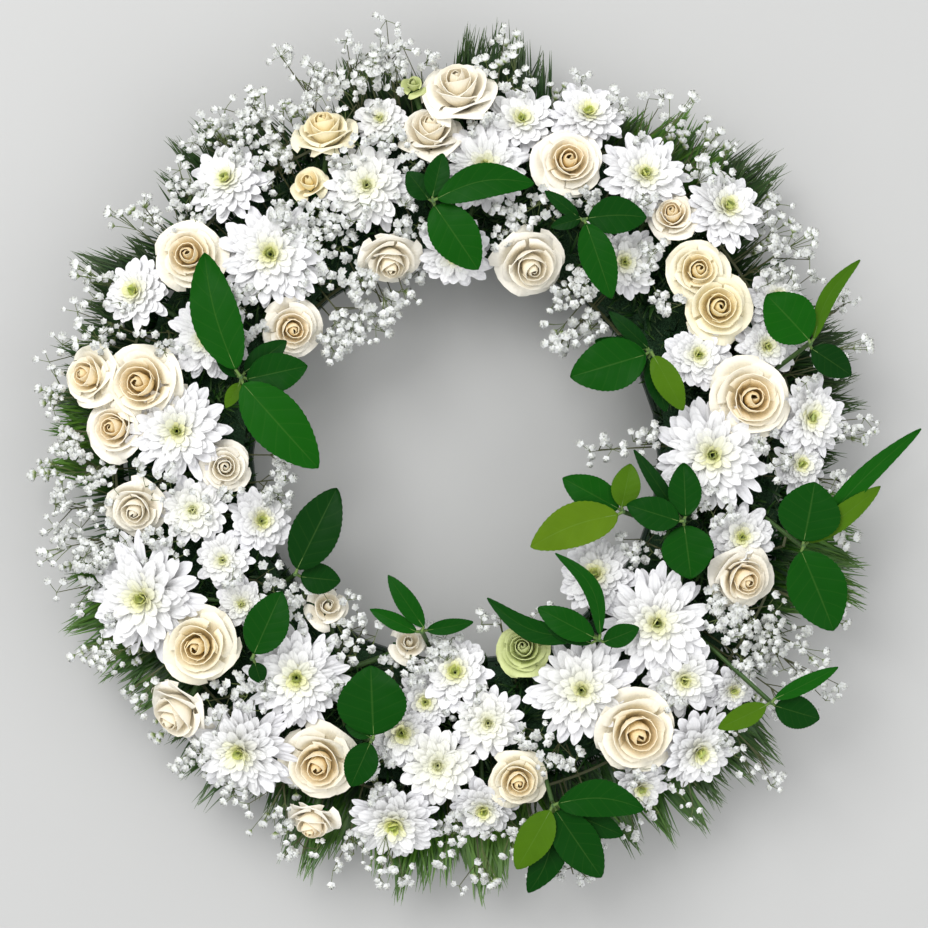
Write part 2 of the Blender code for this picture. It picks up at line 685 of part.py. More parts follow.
def main():
    for thing in list(bpy.data.objects):
        bpy.data.objects.remove(thing)
    rng = random.Random(7)
    white = material("chrysanthemum_petal", (0.86, 0.86, 0.84), 0.6)
    cream = material("rose_petal", (0.86, 0.76, 0.56), 0.55)
    green = material("rose_leaf", (0.03, 0.13, 0.02), 0.4)
    breath = material("breath_floret", (0.82, 0.84, 0.78), 0.7)
    needle = material("palm_blade", (0.04, 0.11, 0.03), 0.5)
    foam = material("floral_foam", (0.06, 0.14, 0.07), 0.95)
    plastic = material("tray_plastic", (0.02, 0.05, 0.03), 0.4)

    heads = []
    for kind, table in (("mum", MUM_SPRAYS), ("rose", ROSES)):
        for node, rows in table.items():
            for across, down, size, lift in rows:
                heads.append(Head(node, kind, across, down, size, lift))

    stems = []
    pieces = {}
    holes = []
    for kind, table, radius in (("mum", MUM_SPRAYS, MUM_STEM), ("rose", ROSES, ROSE_STEM)):
        for node in table:
            own = [head for head in heads if head.node == node]
            cost, fork, entry, bottom, lines = spray_paths(node, heads, own, radius, stems)
            if cost > 1.2:
                print("crowded stem", node, round(cost, 2))
            parts = []
            first = own[0].foot + own[0].axis * own[0].radius * 0.1
            trunk = (bottom, entry, fork, first) if len(own) > 1 else (bottom, entry, first)
            parts.append(tube(trunk, radius, 3))
            for head in own[1:]:
                reach = head.foot + head.axis * head.radius * 0.1
                parts.append(tube((fork + unit(fork - reach) * radius * 0.3, reach), radius * 0.9, 3))
            pieces[node] = parts
            stems += [Stem(node, a, b, radius) for a, b in lines]
            holes.append((entry, bottom, radius + 2.0 * HOLE_ROOM, 3))

    leaf_hulls = []
    for node, (fork_at, rows) in LEAVES.items():
        levels = [row[6] for row in rows]
        height = LEAF_HEIGHT + fork_at[2] * MM
        fork = plan(fork_at[0], fork_at[1], height + min(levels) * LEAF_STEP - 3.0 * MM)
        crown = plan(fork_at[0], fork_at[1], height + max(levels) * LEAF_STEP)
        cost, knee, entry, bottom, lines = leaf_path(node, fork, heads, LEAF_STEM, stems)
        if cost > 1.2:
            print("crowded leaf stem", node, round(cost, 2))
        parts = [tube((bottom, entry, knee, fork, crown), LEAF_STEM, 3)]
        for base_x, base_y, tip_x, tip_y, width, bow, level in rows:
            base = plan(base_x, base_y, height + level * LEAF_STEP)
            tip = plan(tip_x, tip_y, height + level * LEAF_STEP - 1.0 * MM)
            root = plan(fork_at[0], fork_at[1], base[2] - 0.4 * MM) - unit(tip - base) * 0.6 * MM
            blade = leaflet(root, base, tip, width * UNIT, bow)
            parts.append(blade)
            leaf_hulls.append((node, blade[0]))
        pieces[node] = parts
        stems += [Stem(node, a, b, LEAF_STEM) for a, b in lines]
        holes.append((entry, bottom, LEAF_STEM + 2.0 * HOLE_ROOM, 3))

    for i, head in enumerate(heads):
        for j, other in enumerate(heads):
            if i == j:
                continue
            apart = other.centre - head.centre
            gap = float(np.linalg.norm(apart))
            if gap > head.radius + other.radius + 2.0 * MM:
                continue
            side = (gap * gap + head.radius ** 2 - other.radius ** 2) / (2.0 * gap) - BLOOM_GAP * 0.5
            head.limit(apart / gap, side)
        for stem in stems:
            if stem.node != head.node:
                normal, distance = nearest_side(np.array(stem.line), head.centre)
                head.limit(normal, distance - stem.radius - BLOOM_GAP)
        for node, hull in leaf_hulls:
            normal, distance = nearest_side(np.array(hull), head.centre)
            head.limit(normal, distance - BLOOM_GAP)
        tight = min((distance for _, distance in head.sides), default=1.0)
        if tight < 0.35 * head.radius:
            print("tight bloom", head.node, round(tight / head.radius, 2))

    solids = []
    for head in heads:
        if head.kind == "mum":
            count = 8 if head.radius > 33.0 * MM else 7 if head.radius > 26.0 * MM else 6
        else:
            count = 5 if head.radius > 16.0 * MM else 4
        pieces[head.node].append(bloom(head, count, rng))
    for table, finish in ((MUM_SPRAYS, white), (ROSES, cream), (LEAVES, green)):
        for node in table:
            solids.append(join(node, pieces[node], finish))

    points = []
    triangles = []
    for thing in solids:
        start = len(points)
        points += [vert.co[:] for vert in thing.data.vertices]
        triangles += [tuple(start + index for index in face.vertices) for face in thing.data.polygons]
    grown = BVHTree.FromPolygons(points, triangles)

    def room(spot, needed):
        found = grown.find_nearest(Vector(spot))
        return found[3] is None or found[3] > needed

    twigs = []
    tips = []

    def free_line(start, end, thin, thick, skip):
        length = float(np.linalg.norm(end - start))
        steps = max(int(length / (2.0 * MM)), 4)
        for i in range(steps + 1):
            share = i / steps
            spot = start + (end - start) * share
            if share * length < 3.0 * MM:
                continue
            if not room(spot, thin + 0.5 * MM):
                return False
        if thick > 0.0 and not room(end, thick + 0.6 * MM):
            return False
        if twigs:
            starts = np.array([line[0] for line, girth, owner in twigs])
            ends = np.array([line[1] for line, girth, owner in twigs])
            girths = np.array([girth for line, girth, owner in twigs])
            clear = start + (end - start) * min(4.0 * MM / length, 0.5)
            if float((line_gaps((clear, end), starts, ends) - girths).min()) < thin + 0.5 * MM:
                return False
            if thick > 0.0:
                if float((line_gaps((end, end + 1e-9), starts, ends) - girths).min()) < thick + 0.4 * MM:
                    return False
        for spot, size in tips:
            share = float((spot - start) @ (end - start)) / (length * length)
            near = start + (end - start) * min(max(share, 0.0), 1.0)
            if float(np.linalg.norm(spot - near)) < size + thin + 0.4 * MM:
                return False
            if float(np.linalg.norm(spot - end)) < size + thick + 0.3 * MM:
                return False
        return True

    fans = []
    for across, down, spread in PALM_FANS:
        tip = plan(across, down)
        fans.append((bearing(tip) % 360.0, spread, ring_radius(tip)))
    for node, (start, end) in PALM_RIBS.items():
        angles = [start, start + 2.6]
        marks = []
        angle = start + 3.2
        while angle < end - 3.4:
            reach = 0.0
            for middle, spread, tip in fans:
                off = abs((angle - middle + 180.0) % 360.0 - 180.0)
                if off < spread:
                    reach = max(reach, tip * (1.0 - 0.08 * (off / spread) ** 2))
            if reach > 0.0:
                marks.append((len(angles), angle, reach))
                angles += [angle, angle + 0.75]
                angle += 2.75
            else:
                if angle - angles[-1] > 5.0:
                    angles.append(angle)
                angle += 1.0
        angles += [end - 2.6, end]
        places = []
        for i, angle in enumerate(angles):
            inside = i == 0 or i == len(angles) - 1
            radius = FOAM_OUTER - 12.0 * MM if inside else FOAM_OUTER + 6.0 * MM
            places.append(polar(radius, angle, PALM_HEIGHT))
        shoots = {}
        for index, angle, reach in marks:
            sway = 16.0 * math.sin(math.radians(angle * 5.0)) + 8.0 * math.sin(math.radians(angle * 11.0))
            for face, tilt in ((0, rng.uniform(12.0, 26.0)), (2, rng.uniform(-13.0, 4.0))):
                root = polar(FOAM_OUTER + 6.0 * MM, angle + 0.37, PALM_HEIGHT)
                length = (reach * rng.uniform(0.94, 1.0)) - FOAM_OUTER - 6.0 * MM
                for shorter in (1.0, 0.8, 0.6, 0.45):
                    heading = math.radians(angle + sway)
                    flat = length * shorter
                    tip = root + np.array((flat * math.cos(heading), flat * math.sin(heading),
                                           flat * math.tan(math.radians(tilt))))
                    if free_line(root, tip, 1.0 * MM, 0.0, 0):
                        shoots[(index, face)] = (tip, 0.0)
                        twigs.append(((root + (tip - root) * 0.08, tip), 0.7 * MM, node))
                        break
        solids.append(edged_rib(node, places, PALM_RIB, shoots, needle, 1.0))
        wide = (PALM_RIB * 1.3 + HOLE_ROOM) * 1.42
        for mouth, bottom in ((places[1], places[0]), (places[-2], places[-1])):
            holes.append((mouth, bottom + unit(bottom - mouth) * 1.8 * MM, wide, 4))
        print(node, len(shoots), "needles")

    for node, (start, end, out, crowd) in BREATH_RIBS.items():
        angles = [start, start + 2.6 if out > 0 else start + 4.0]
        step = 9.6 if out > 0 else 7.0
        width = 0.8 if out > 0 else 1.3
        angle = angles[-1] + 1.0
        marks = []
        margin = 3.4 if out > 0 else 5.6
        while angle < end - margin:
            marks.append((len(angles), angle))
            angles += [angle, angle + width]
            angle += step
        angles += [end - 2.6 if out > 0 else end - 4.0, end]
        places = []
        for i, angle in enumerate(angles):
            inside = i == 0 or i == len(angles) - 1
            edge = FOAM_OUTER if out > 0 else FOAM_INNER
            radius = edge - out * 12.0 * MM if inside else edge + out * 6.0 * MM
            height = BREATH_HEIGHT - 12.0 * MM if inside else BREATH_HEIGHT
            if i in (1, len(angles) - 2):
                height = BREATH_HEIGHT - 8.0 * MM
            places.append(polar(radius, angle, height))
        for a, b in zip(places[1:-2], places[2:-1]):
            if not free_line(a, b, BREATH_RIB, 0.0, 0):
                print("rib of", node, "is close to something near", round(bearing(a), 1))
        shoots = {}
        for index, angle in marks:
            for face in (0, 2):
                radius = FOAM_OUTER + 6.0 * MM if out > 0 else FOAM_INNER - 6.0 * MM
                root = polar(radius, angle + 0.4, BREATH_HEIGHT)
                for attempt in range(26):
                    turn = rng.uniform(-13.0, 13.0)
                    if out > 0:
                        reach = rng.uniform(250.0, 292.0) * MM
                    else:
                        reach = rng.uniform(104.0, 136.0) * MM
                    high = rng.uniform(66.0, 104.0) if face == 0 else rng.uniform(40.0, 62.0)
                    if out < 0 and face == 2:
                        break
                    tip = polar(reach, angle + turn, high * MM)
                    size = FLORET * rng.uniform(0.85, 1.15)
                    heading = unit(tip - root)
                    outward = unit(root - polar(0.0, 0.0, root[2])) * out
                    facing = unit(outward + np.array((0.0, 0.0, 1.0 if face == 0 else -1.0)))
                    if float(heading @ facing) < 0.35:
                        continue
                    if free_line(root, tip, BREATH_TWIG + 0.2 * MM, size * 1.02, 0):
                        shoots[(index, face)] = (tip, size)
                        twigs.append(((root + (tip - root) * 0.08, tip), BREATH_TWIG + 0.2 * MM, node))
                        tips.append((tip, size * 1.02))
                        break
        solids.append(edged_rib(node, places, BREATH_RIB, shoots, breath, float(out)))
        wide = (BREATH_RIB * 1.3 + HOLE_ROOM) * 1.42
        for mouth, bottom in ((places[1], places[0]), (places[-2], places[-1])):
            holes.append((mouth, bottom + unit(bottom - mouth) * 1.8 * MM, wide, 4))
        print(node, len(shoots), "florets")

    tray = (
        (TRAY_INNER, 0.0), (TRAY_OUTER, 0.0), (TRAY_OUTER, TRAY_RIM),
        (TRAY_OUTER - TRAY_WALL, TRAY_RIM), (TRAY_OUTER - TRAY_WALL, TRAY_FLOOR),
        (TRAY_INNER + TRAY_WALL, TRAY_FLOOR), (TRAY_INNER + TRAY_WALL, TRAY_RIM),
        (TRAY_INNER, TRAY_RIM),
    )
    lathe("base_tray", tray, RING_SEGMENTS, plastic)
    low = TRAY_FLOOR + SEAT_GAP
    section = (
        (FOAM_INNER, low), (FOAM_OUTER, low), (FOAM_OUTER, FOAM_TOP - FOAM_SHOULDER),
        (FOAM_OUTER - FOAM_SHOULDER, FOAM_TOP), (FOAM_INNER + FOAM_SHOULDER * 0.6, FOAM_TOP),
        (FOAM_INNER, FOAM_TOP - FOAM_SHOULDER * 0.6),
    )
    ring = lathe("foam_ring", section, RING_SEGMENTS, foam)
    cutters = bpy.data.collections.new("hole_cutters")
    bpy.context.scene.collection.children.link(cutters)
    for index, (mouth, bottom, wide, sides) in enumerate(holes):
        along = unit(bottom - mouth)
        line = (bottom + along * 0.5 * MM, mouth - along * 6.0 * MM)
        cutter = mesh_object("hole_" + str(index), *tube(line, wide, sides))
        bpy.context.scene.collection.objects.unlink(cutter)
        cutters.objects.link(cutter)
        cutter.hide_render = True
        cutter.display_type = "WIRE"
    cut = ring.modifiers.new("holes", "BOOLEAN")
    cut.operation = "DIFFERENCE"
    cut.operand_type = "COLLECTION"
    cut.collection = cutters
    cut.solver = "EXACT"
    ready = ring.evaluated_get(bpy.context.evaluated_depsgraph_get())
    mesh = bpy.data.meshes.new_from_object(ready)
    ring.modifiers.remove(cut)
    ring.data = mesh
    for cutter in list(cutters.objects):
        bpy.data.objects.remove(cutter)
    bpy.data.collections.remove(cutters)
    tidy(ring)


main()
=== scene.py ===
"""Fine petals, leaves, baby's breath and needles of a flower wreath that lies flat."""

import math
import random

import bpy
import numpy as np
from mathutils import Matrix, Vector


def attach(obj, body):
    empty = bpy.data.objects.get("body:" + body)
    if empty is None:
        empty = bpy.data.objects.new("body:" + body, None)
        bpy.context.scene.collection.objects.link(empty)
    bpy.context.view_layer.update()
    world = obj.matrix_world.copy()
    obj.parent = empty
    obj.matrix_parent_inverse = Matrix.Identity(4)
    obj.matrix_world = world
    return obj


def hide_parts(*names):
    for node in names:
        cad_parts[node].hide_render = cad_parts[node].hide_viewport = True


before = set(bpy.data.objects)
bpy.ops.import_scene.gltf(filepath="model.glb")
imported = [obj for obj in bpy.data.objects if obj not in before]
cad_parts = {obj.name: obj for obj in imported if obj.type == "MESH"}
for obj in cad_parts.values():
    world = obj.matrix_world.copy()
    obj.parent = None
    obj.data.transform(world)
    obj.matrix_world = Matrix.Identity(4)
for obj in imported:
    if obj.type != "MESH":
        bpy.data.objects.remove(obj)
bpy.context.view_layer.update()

MM = 0.001

# A place is given in picture units across and down; one unit is UNIT on the wreath.
UNIT = 0.68 * MM
PLAN_CENTRE = (470.5, 463.0)
RING_AT = (455.0, 458.0)
PICTURE_CENTRE = (464.0, 464.0)
PICTURE_SIZE = 928.0
CAMERA_HEIGHT = 1.7
SENSOR_WIDTH = 36.0
BLOOM_PLANE = 0.09

# Heights and radii of the foam, the stems, the blooms and the ribs.
FOAM_INNER = 148.0 * MM
FOAM_OUTER = 229.0 * MM
FOAM_TOP = 60.0 * MM
ENTRY_HEIGHT = FOAM_TOP + 1.5 * MM
FORK_HEIGHT = 67.0 * MM
STEM_INNER_LIMIT = 165.0 * MM
STEM_OUTER_LIMIT = 207.0 * MM
MUM_HEIGHT = 84.0 * MM
ROSE_HEIGHT = 90.0 * MM
LEAF_HEIGHT = 112.0 * MM
LEAF_STEP = 3.2 * MM
LEAF_THICK = 0.7 * MM
LEAF_ROWS = 33
LEAF_COLUMNS = 9
INNER_FORK_LIMIT = 156.0 * MM
LEAN_BAND = (172.0 * MM, 200.0 * MM)
LEAN_RUN = 70.0 * MM
LEAN_TILT = 0.7
LEAN_SINK = 9.0 * MM
STEM_DEPTH = 18.0 * MM
ROSE_STEM = 2.4 * MM
MUM_STEM = 2.0 * MM
LEAF_STEM = 1.6 * MM
RIB_RADIUS = 235.0 * MM
RIB_STEP_OUT = 6.0 * MM
RIB_STEP_IN = 12.0 * MM
RIB_STATION = 3.0
TWIG_SPACING = 15.0 * MM
CLOUD_EDGE = 205.0 * MM
CLOUD_RUN = 60.0 * MM
CLOUD_HEIGHT = 83.0 * MM
CLOUD_DROOP = 16.0 * MM
INNER_CLOUD_LIMIT = 168.0 * MM
INNER_CLOUD_HEIGHT = 74.0 * MM
BREATH_HEIGHT = FOAM_TOP
PALM_HEIGHT = 36.0 * MM
OUTER_TWIG_LIMIT = 243.0 * MM
INNER_TWIG_LIMIT = 139.0 * MM
NEEDLE_TIP_LIMIT = 244.0 * MM
FLORET_SIZE = 3.9 * MM
BLADES_A_TIP = 13
FLORETS_A_TWIG = 6

# Blooms: sizes are in picture units; MUM_PETALS says how many petals a head has above a size.
MUM_SPREAD = 1.07
MUM_PETALS = ((48, 128), (38, 106), (31, 84), (0, 62))
MUM_PETAL_WIDTH = 11.4
MUM_PETAL_BAND = (0.21, 0.34)
MUM_FOOT = 0.20
MUM_COVER = 0.45
ROSE_FOOT = 0.52
ROSE_COVER = 0.80
SMALL_ROSE = 23
ROSE_BUD = 17
RIM_ANGLE = math.radians(72.0)
FACET_ANGLE = 0.35
ANY_TURN = 6.28
FULL_TURN = 2.0 * math.pi
GOLDEN_TURN = math.pi * (3.0 - math.sqrt(5.0))
FLOOR_REACH = 4.0
FLOOR_DROP = 0.3 * MM

# Chrysanthemum heads: across, down, radius in picture units, lift in mm, openness of the eye.
MUM_SPRAYS = {
    "north_west": ((228, 182, 42, 0, 0.5), (271, 255, 52, 2, 0.4)),
    "west_high": ((137, 293, 36, 0, 0.0), (208, 338, 42, -2, 0.3)),
    "north_left": ((367, 186, 44, 2, 0.8), (380, 120, 28, -3, 0.7)),
    "north": ((485, 166, 45, 0, 0.6), (455, 250, 38, -2, 0.2)),
    "north_right": ((521, 121, 38, -2, 0.4), (587, 115, 37, -2, 0.2)),
    "north_east": ((643, 177, 46, 0, 0.5), (724, 210, 42, 2, 0.4), (625, 262, 36, -2, 0.6)),
    "east_high": ((775, 300, 32, -2, 0.2), (698, 355, 34, 2, 0.5), (765, 347, 34, 0, 0.5)),
    "east": ((711, 455, 58, 2, 0.5), (808, 418, 42, -2, 0.3), (800, 464, 30, -4, 0.2)),
    "east_low": ((742, 537, 34, -3, 0.2), (656, 622, 56, 3, 0.6), (600, 578, 40, -2, 0.2)),
    "south_east": ((683, 679, 42, -2, 0.6), (581, 689, 53, 2, 0.7), (733, 690, 25, -4, 0.2)),
    "south_right": ((697, 748, 42, 0, 0.4), (640, 787, 30, -4, 0.1)),
    "south": ((455, 675, 38, 0, 0.1), (425, 703, 30, -3, 0.2), (488, 723, 36, 0, 0.9)),
    "south_left": ((402, 733, 38, -2, 0.2), (438, 764, 42, 3, 1.0)),
    "south_low": ((395, 820, 46, -2, 0.1), (483, 808, 34, -2, 0.3)),
    "south_west": ((243, 747, 54, 0, 0.4), (297, 677, 52, 2, 0.4)),
    "west_low": ((148, 596, 62, 2, 0.5), (241, 604, 28, -2, 0.7)),
    "west": ((222, 560, 30, -2, 0.7), (193, 510, 34, 0, 0.9), (258, 522, 34, -4, 0.1),
             (178, 431, 52, 2, 0.5)),
}

# Roses: across, down, radius in picture units, lift in mm, openness, tint from white through cream to
# yellow and green, then for some how far the head nods across and up.
ROSES = {
    "pair_north_west": ((325, 133, 31, 2, 0.35, 0.9, -0.05, 0.75),
                        (309, 184, 20, -2, 0.2, 1.0, -0.1, 0.35)),
    "trio_north": ((459, 92, 38, 4, 0.3, 0.15, -0.15, 0.3), (430, 134, 32, 0, 0.5, 0.2, 0.1, 0.55),
                   (413, 84, 14, -2, 0.0, 1.6)),
    "north": ((568, 163, 34, 4, 0.8, 0.5),),
    "inner_north": ((530, 262, 35, 0, 0.6, 0.15, 0.3, -0.3),),
    "inner_north_west": ((390, 258, 30, 0, 0.3, 0.2, 0.1, -0.8),),
    "trio_north_east": ((673, 216, 25, 0, 0.4, 0.5, -0.3, 0.2), (697, 271, 30, 2, 0.5, 0.8),
                        (717, 308, 34, 4, 0.8, 0.9)),
    "east": ((750, 399, 40, 4, 0.9, 0.6),),
    "east_low": ((742, 577, 32, -1, 0.6, 0.4, 0.2, -0.25),),
    "south_east": ((636, 730, 42, 4, 0.9, 0.6),),
    "south": ((518, 779, 29, 2, 0.8, 0.7),),
    "pair_south_west": ((320, 762, 38, 0, 0.6, 0.6), (312, 822, 26, -3, 0.4, 0.4, -0.1, -0.65)),
    "pair_west_low": ((178, 712, 34, -2, 0.5, 0.2, -0.35, -0.45), (200, 645, 38, 4, 0.8, 0.7)),
    "pair_west_inner": ((136, 507, 30, -2, 0.4, 0.1, 0.1, -0.4), (224, 467, 26, -3, 0.3, 0.1)),
    "trio_west": ((117, 428, 32, 0, 0.5, 0.5), (144, 384, 40, 4, 0.8, 0.6), (90, 376, 30, 0, 0.5, 0.6)),
    "west_high": ((190, 256, 34, 3, 0.8, 0.6, 0.15, -0.1),),
    "inner_west": ((291, 328, 30, -2, 0.5, 0.5),),
    "bud_south": ((524, 650, 27, 0, 0.1, 1.5),),
    "pair_inner_south": ((408, 645, 20, -2, 0.4, 0.1), (326, 608, 22, -3, 0.4, 0.1)),
}

# Leaf sprays: fork place and lift in mm, then leaflets as base, tip, width, bow, level and tone; a low tone
# is painted shade for a leaflet in shadow, a high one the leaf's own olive.
LEAVES = {
    "north": ((434, 205, 0), (
        (433, 201, 443, 158, 24, 0.0, 1, 0.3), (429, 202, 408, 175, 24, 0.0, -1, 0.2),
        (438, 203, 533, 188, 34, 0.10, 2, 0.5), (435, 209, 478, 272, 46, 0.0, 0, 0.6))),
    "north_right": ((582, 224, 0), (
        (586, 222, 644, 221, 36, 0.04, 1, 0.3), (584, 228, 609, 301, 34, 0.0, 2, 0.5),
        (577, 220, 544, 194, 14, 0.0, -1, 0.2), (579, 222, 550, 230, 14, 0.0, 0, 0.1))),
    "north_east": ((806, 345, -4), (
        (804, 341, 763, 297, 50, 0.0, 1, 0.7), (809, 350, 848, 376, 30, 0.0, -1, 0.1),
        (810, 340, 856, 262, 16, 0.1, 0, 0.85))),
    "inner_east": ((648, 353, -4), (
        (644, 350, 594, 342, 26, 0.1, -1, 0.15), (643, 356, 569, 378, 50, 0.0, 1, 0.5),
        (651, 358, 680, 411, 26, 0.0, 2, 0.9), (647, 359, 664, 412, 22, 0.0, 0, 0.1),
        (646, 349, 608, 313, 16, 0.0, -1, 0.1))),
    "east": ((680, 520, 1), (
        (682, 515, 680, 463, 32, 0.0, 1, 0.35), (675, 520, 624, 504, 32, 0.0, 2, 0.3),
        (681, 525, 688, 577, 50, 0.0, 0, 0.45), (676, 515, 632, 450, 15, 0.0, -1, 0.1))),
    "inner_east_low": ((621, 511, -8), (
        (617, 508, 562, 478, 34, 0.0, 0, 0.6), (620, 506, 629, 464, 28, 0.0, 1, 0.9),
        (616, 514, 530, 546, 42, -0.06, 2, 1.0))),
    "inner_south_east": ((597, 637, -3), (
        (598, 632, 554, 552, 17, -0.16, 2, 0.5), (592, 635, 537, 606, 28, 0.0, 1, 0.5),
        (590, 632, 487, 597, 22, 0.14, -1, 0.3), (602, 640, 637, 626, 22, 0.0, 0, 0.4),
        (590, 641, 545, 626, 14, 0.0, 0, 0.2))),
    "inner_south": ((422, 630, -6), (
        (424, 625, 389, 574, 20, 0.0, 1, 0.5), (417, 630, 371, 608, 16, 0.0, 0, 0.6),
        (427, 629, 473, 621, 15, 0.0, -1, 0.4))),
    "inner_west_low": ((297, 573, -8), (
        (299, 568, 338, 488, 46, 0.0, 1, 0.1), (302, 576, 341, 580, 30, 0.0, -1, 0.15))),
    "west_low": ((255, 656, -3), (
        (257, 651, 284, 590, 42, 0.0, 1, 0.4), (257, 661, 263, 681, 18, 0.0, -1, 0.1))),
    "west": ((244, 378, -3), (
        (239, 371, 208, 256, 46, 0.04, 2, 0.6), (247, 373, 288, 342, 24, 0.0, -1, 0.2),
        (250, 380, 309, 367, 38, 0.0, 0, 0.35), (246, 385, 320, 468, 52, 0.0, 1, 0.7),
        (240, 377, 218, 356, 14, 0.0, -1, 0.1), (242, 384, 228, 408, 14, 0.0, -1, 0.9))),
    "south_west": ((374, 735, 0), (
        (375, 731, 372, 663, 66, 0.0, 1, 0.4), (371, 740, 352, 783, 32, 0.0, -1, 0.3),
        (371, 733, 347, 722, 13, 0.0, 0, 0.3))),
    "south": ((552, 800, -3), (
        (557, 798, 641, 804, 36, 0.1, 2, 0.4), (549, 806, 516, 864, 34, 0.0, 1, 0.9),
        (559, 804, 622, 832, 28, 0.0, -1, 0.2), (555, 807, 600, 873, 42, 0.0, 0, 0.3),
        (551, 810, 528, 890, 34, 0.1, -2, 0.2))),
    "east_outer": ((798, 545, -2), (
        (799, 540, 810, 482, 60, 0.0, 1, 0.4), (796, 550, 828, 628, 56, 0.0, 2, 0.5),
        (804, 541, 876, 486, 22, 0.0, 0, 0.9), (806, 540, 917, 429, 20, 0.04, -1, 0.7))),
    "south_east": ((768, 700, -6), (
        (771, 696, 834, 665, 16, 0.0, 1, 0.7), (763, 703, 716, 726, 22, 0.0, 0, 0.9),
        (773, 704, 817, 717, 32, 0.0, -1, 0.2))),
}

# Clouds of baby's breath: across, down, radius and florets.
BREATH_CLOUDS = {
    "north_west": (
        (215, 140, 34, 54), (250, 100, 38, 70), (300, 75, 40, 76), (345, 55, 38, 66), (385, 40, 30, 44),
        (395, 75, 30, 44), (355, 100, 34, 54), (280, 130, 34, 60), (345, 165, 30, 36), (300, 215, 34, 44),
        (180, 190, 34, 44), (275, 165, 26, 36), (240, 140, 26, 36), (320, 240, 22, 16), (400, 140, 22, 24)),
    "north": (
        (420, 60, 28, 26), (500, 60, 36, 20), (425, 170, 30, 18), (530, 85, 34, 18), (470, 130, 30, 16),
        (340, 215, 30, 22), (410, 215, 24, 14), (515, 215, 26, 22), (548, 205, 22, 20), (500, 240, 18, 10),
        (330, 245, 20, 12), (420, 240, 20, 10)),
    "north_east": (
        (600, 95, 36, 26), (650, 120, 38, 34), (695, 150, 34, 30), (640, 205, 26, 18), (740, 165, 30, 16),
        (585, 190, 24, 14), (775, 205, 30, 26), (800, 240, 28, 26), (655, 262, 20, 12), (665, 300, 20, 10),
        (605, 215, 18, 10)),
    "east": (
        (760, 265, 32, 26), (800, 290, 34, 30), (840, 310, 26, 18), (800, 370, 30, 24), (845, 420, 28, 24),
        (770, 445, 34, 24), (845, 480, 22, 12), (720, 505, 28, 16)),
    "south_east": (
        (745, 615, 34, 54), (785, 640, 38, 70), (820, 680, 30, 48), (760, 670, 34, 54), (795, 705, 32, 44),
        (735, 735, 36, 36), (770, 765, 32, 26), (700, 790, 30, 20), (720, 610, 24, 20), (680, 700, 20, 10)),
    "south": (
        (560, 745, 28, 18), (500, 835, 36, 34), (540, 865, 30, 24), (450, 850, 30, 26), (600, 830, 30, 22),
        (640, 820, 28, 18), (480, 885, 32, 26), (430, 660, 34, 26), (470, 700, 26, 16), (540, 735, 24, 14),
        (575, 880, 28, 16)),
    "south_west": (
        (300, 860, 36, 34), (345, 850, 34, 30), (370, 775, 30, 24), (270, 810, 34, 28), (215, 790, 32, 26),
        (185, 760, 30, 24), (225, 700, 34, 30), (255, 690, 26, 18), (350, 700, 28, 16), (390, 870, 28, 20)),
    "west": (
        (80, 470, 36, 66), (65, 510, 30, 50), (90, 545, 34, 60), (120, 560, 30, 40), (105, 500, 26, 36),
        (75, 590, 30, 28), (105, 640, 34, 34), (130, 690, 30, 26), (160, 480, 30, 26), (215, 495, 26, 16),
        (170, 540, 28, 20), (255, 580, 28, 20), (60, 430, 26, 20)),
    "west_high": (
        (70, 350, 34, 30), (100, 320, 32, 28), (55, 390, 24, 16), (170, 230, 34, 34), (140, 210, 26, 18),
        (210, 290, 30, 18), (165, 330, 28, 16), (110, 290, 30, 18), (250, 300, 28, 16), (250, 340, 22, 12)),
    "inner_north": (
        (345, 320, 30, 34), (365, 290, 30, 32), (390, 320, 22, 18), (325, 340, 24, 20), (320, 285, 28, 22),
        (580, 320, 22, 20), (575, 290, 24, 22), (600, 290, 22, 16), (560, 345, 12, 6)),
    "inner_west": (
        (300, 600, 26, 22), (335, 590, 22, 16), (270, 480, 24, 16), (345, 640, 26, 18), (285, 455, 20, 10),
        (280, 500, 18, 8), (365, 625, 20, 12)),
    "inner_south": (
        (455, 640, 28, 24), (500, 625, 24, 14), (560, 620, 24, 14), (395, 690, 28, 16), (600, 450, 22, 8),
        (640, 445, 22, 12), (640, 540, 30, 20)),
}

# Tufts of needles: across and down of the middle, then how fresh the green is.
TUFTS = (
    (165, 115, 0.2), (62, 245, 0.2), (26, 335, 0.25), (24, 460, 0.8), (56, 665, 0.7), (165, 800, 0.4),
    (240, 860, 0.5), (318, 898, 0.7), (424, 923, 0.8), (515, 918, 0.9), (690, 868, 0.6), (787, 795, 0.4),
    (897, 560, 0.7), (889, 380, 0.2), (790, 150, 0.2), (742, 105, 0.7), (690, 75, 0.8), (620, 60, 0.7),
    (535, 10, 0.2), (375, 24, 0.2),
)

# Rim radius of each petal of a rose of radius 1, from the wound heart to the open guard petals.
ROSE_RIMS = (0.025, 0.06, 0.10, 0.15, 0.20, 0.26, 0.32, 0.38, 0.48, 0.52, 0.57, 0.70, 0.75, 0.81, 0.94, 0.98,
             1.03, 1.06, 1.00)

# Ribs round the foam: bearings of the two ends, then 1 for the outer edge and -1 for the inner one.
BREATH_RIBS = {
    "north_east": (-18.0, 88.0, 1), "north_west": (91.0, 216.0, 1), "south": (219.0, 339.0, 1),
    "inner_west": (99.0, 150.0, -1), "inner_east": (34.0, 72.0, -1),
}
PALM_RIBS = {"east": (-33.0, 69.0), "north": (72.0, 193.0), "south": (196.0, 324.0)}

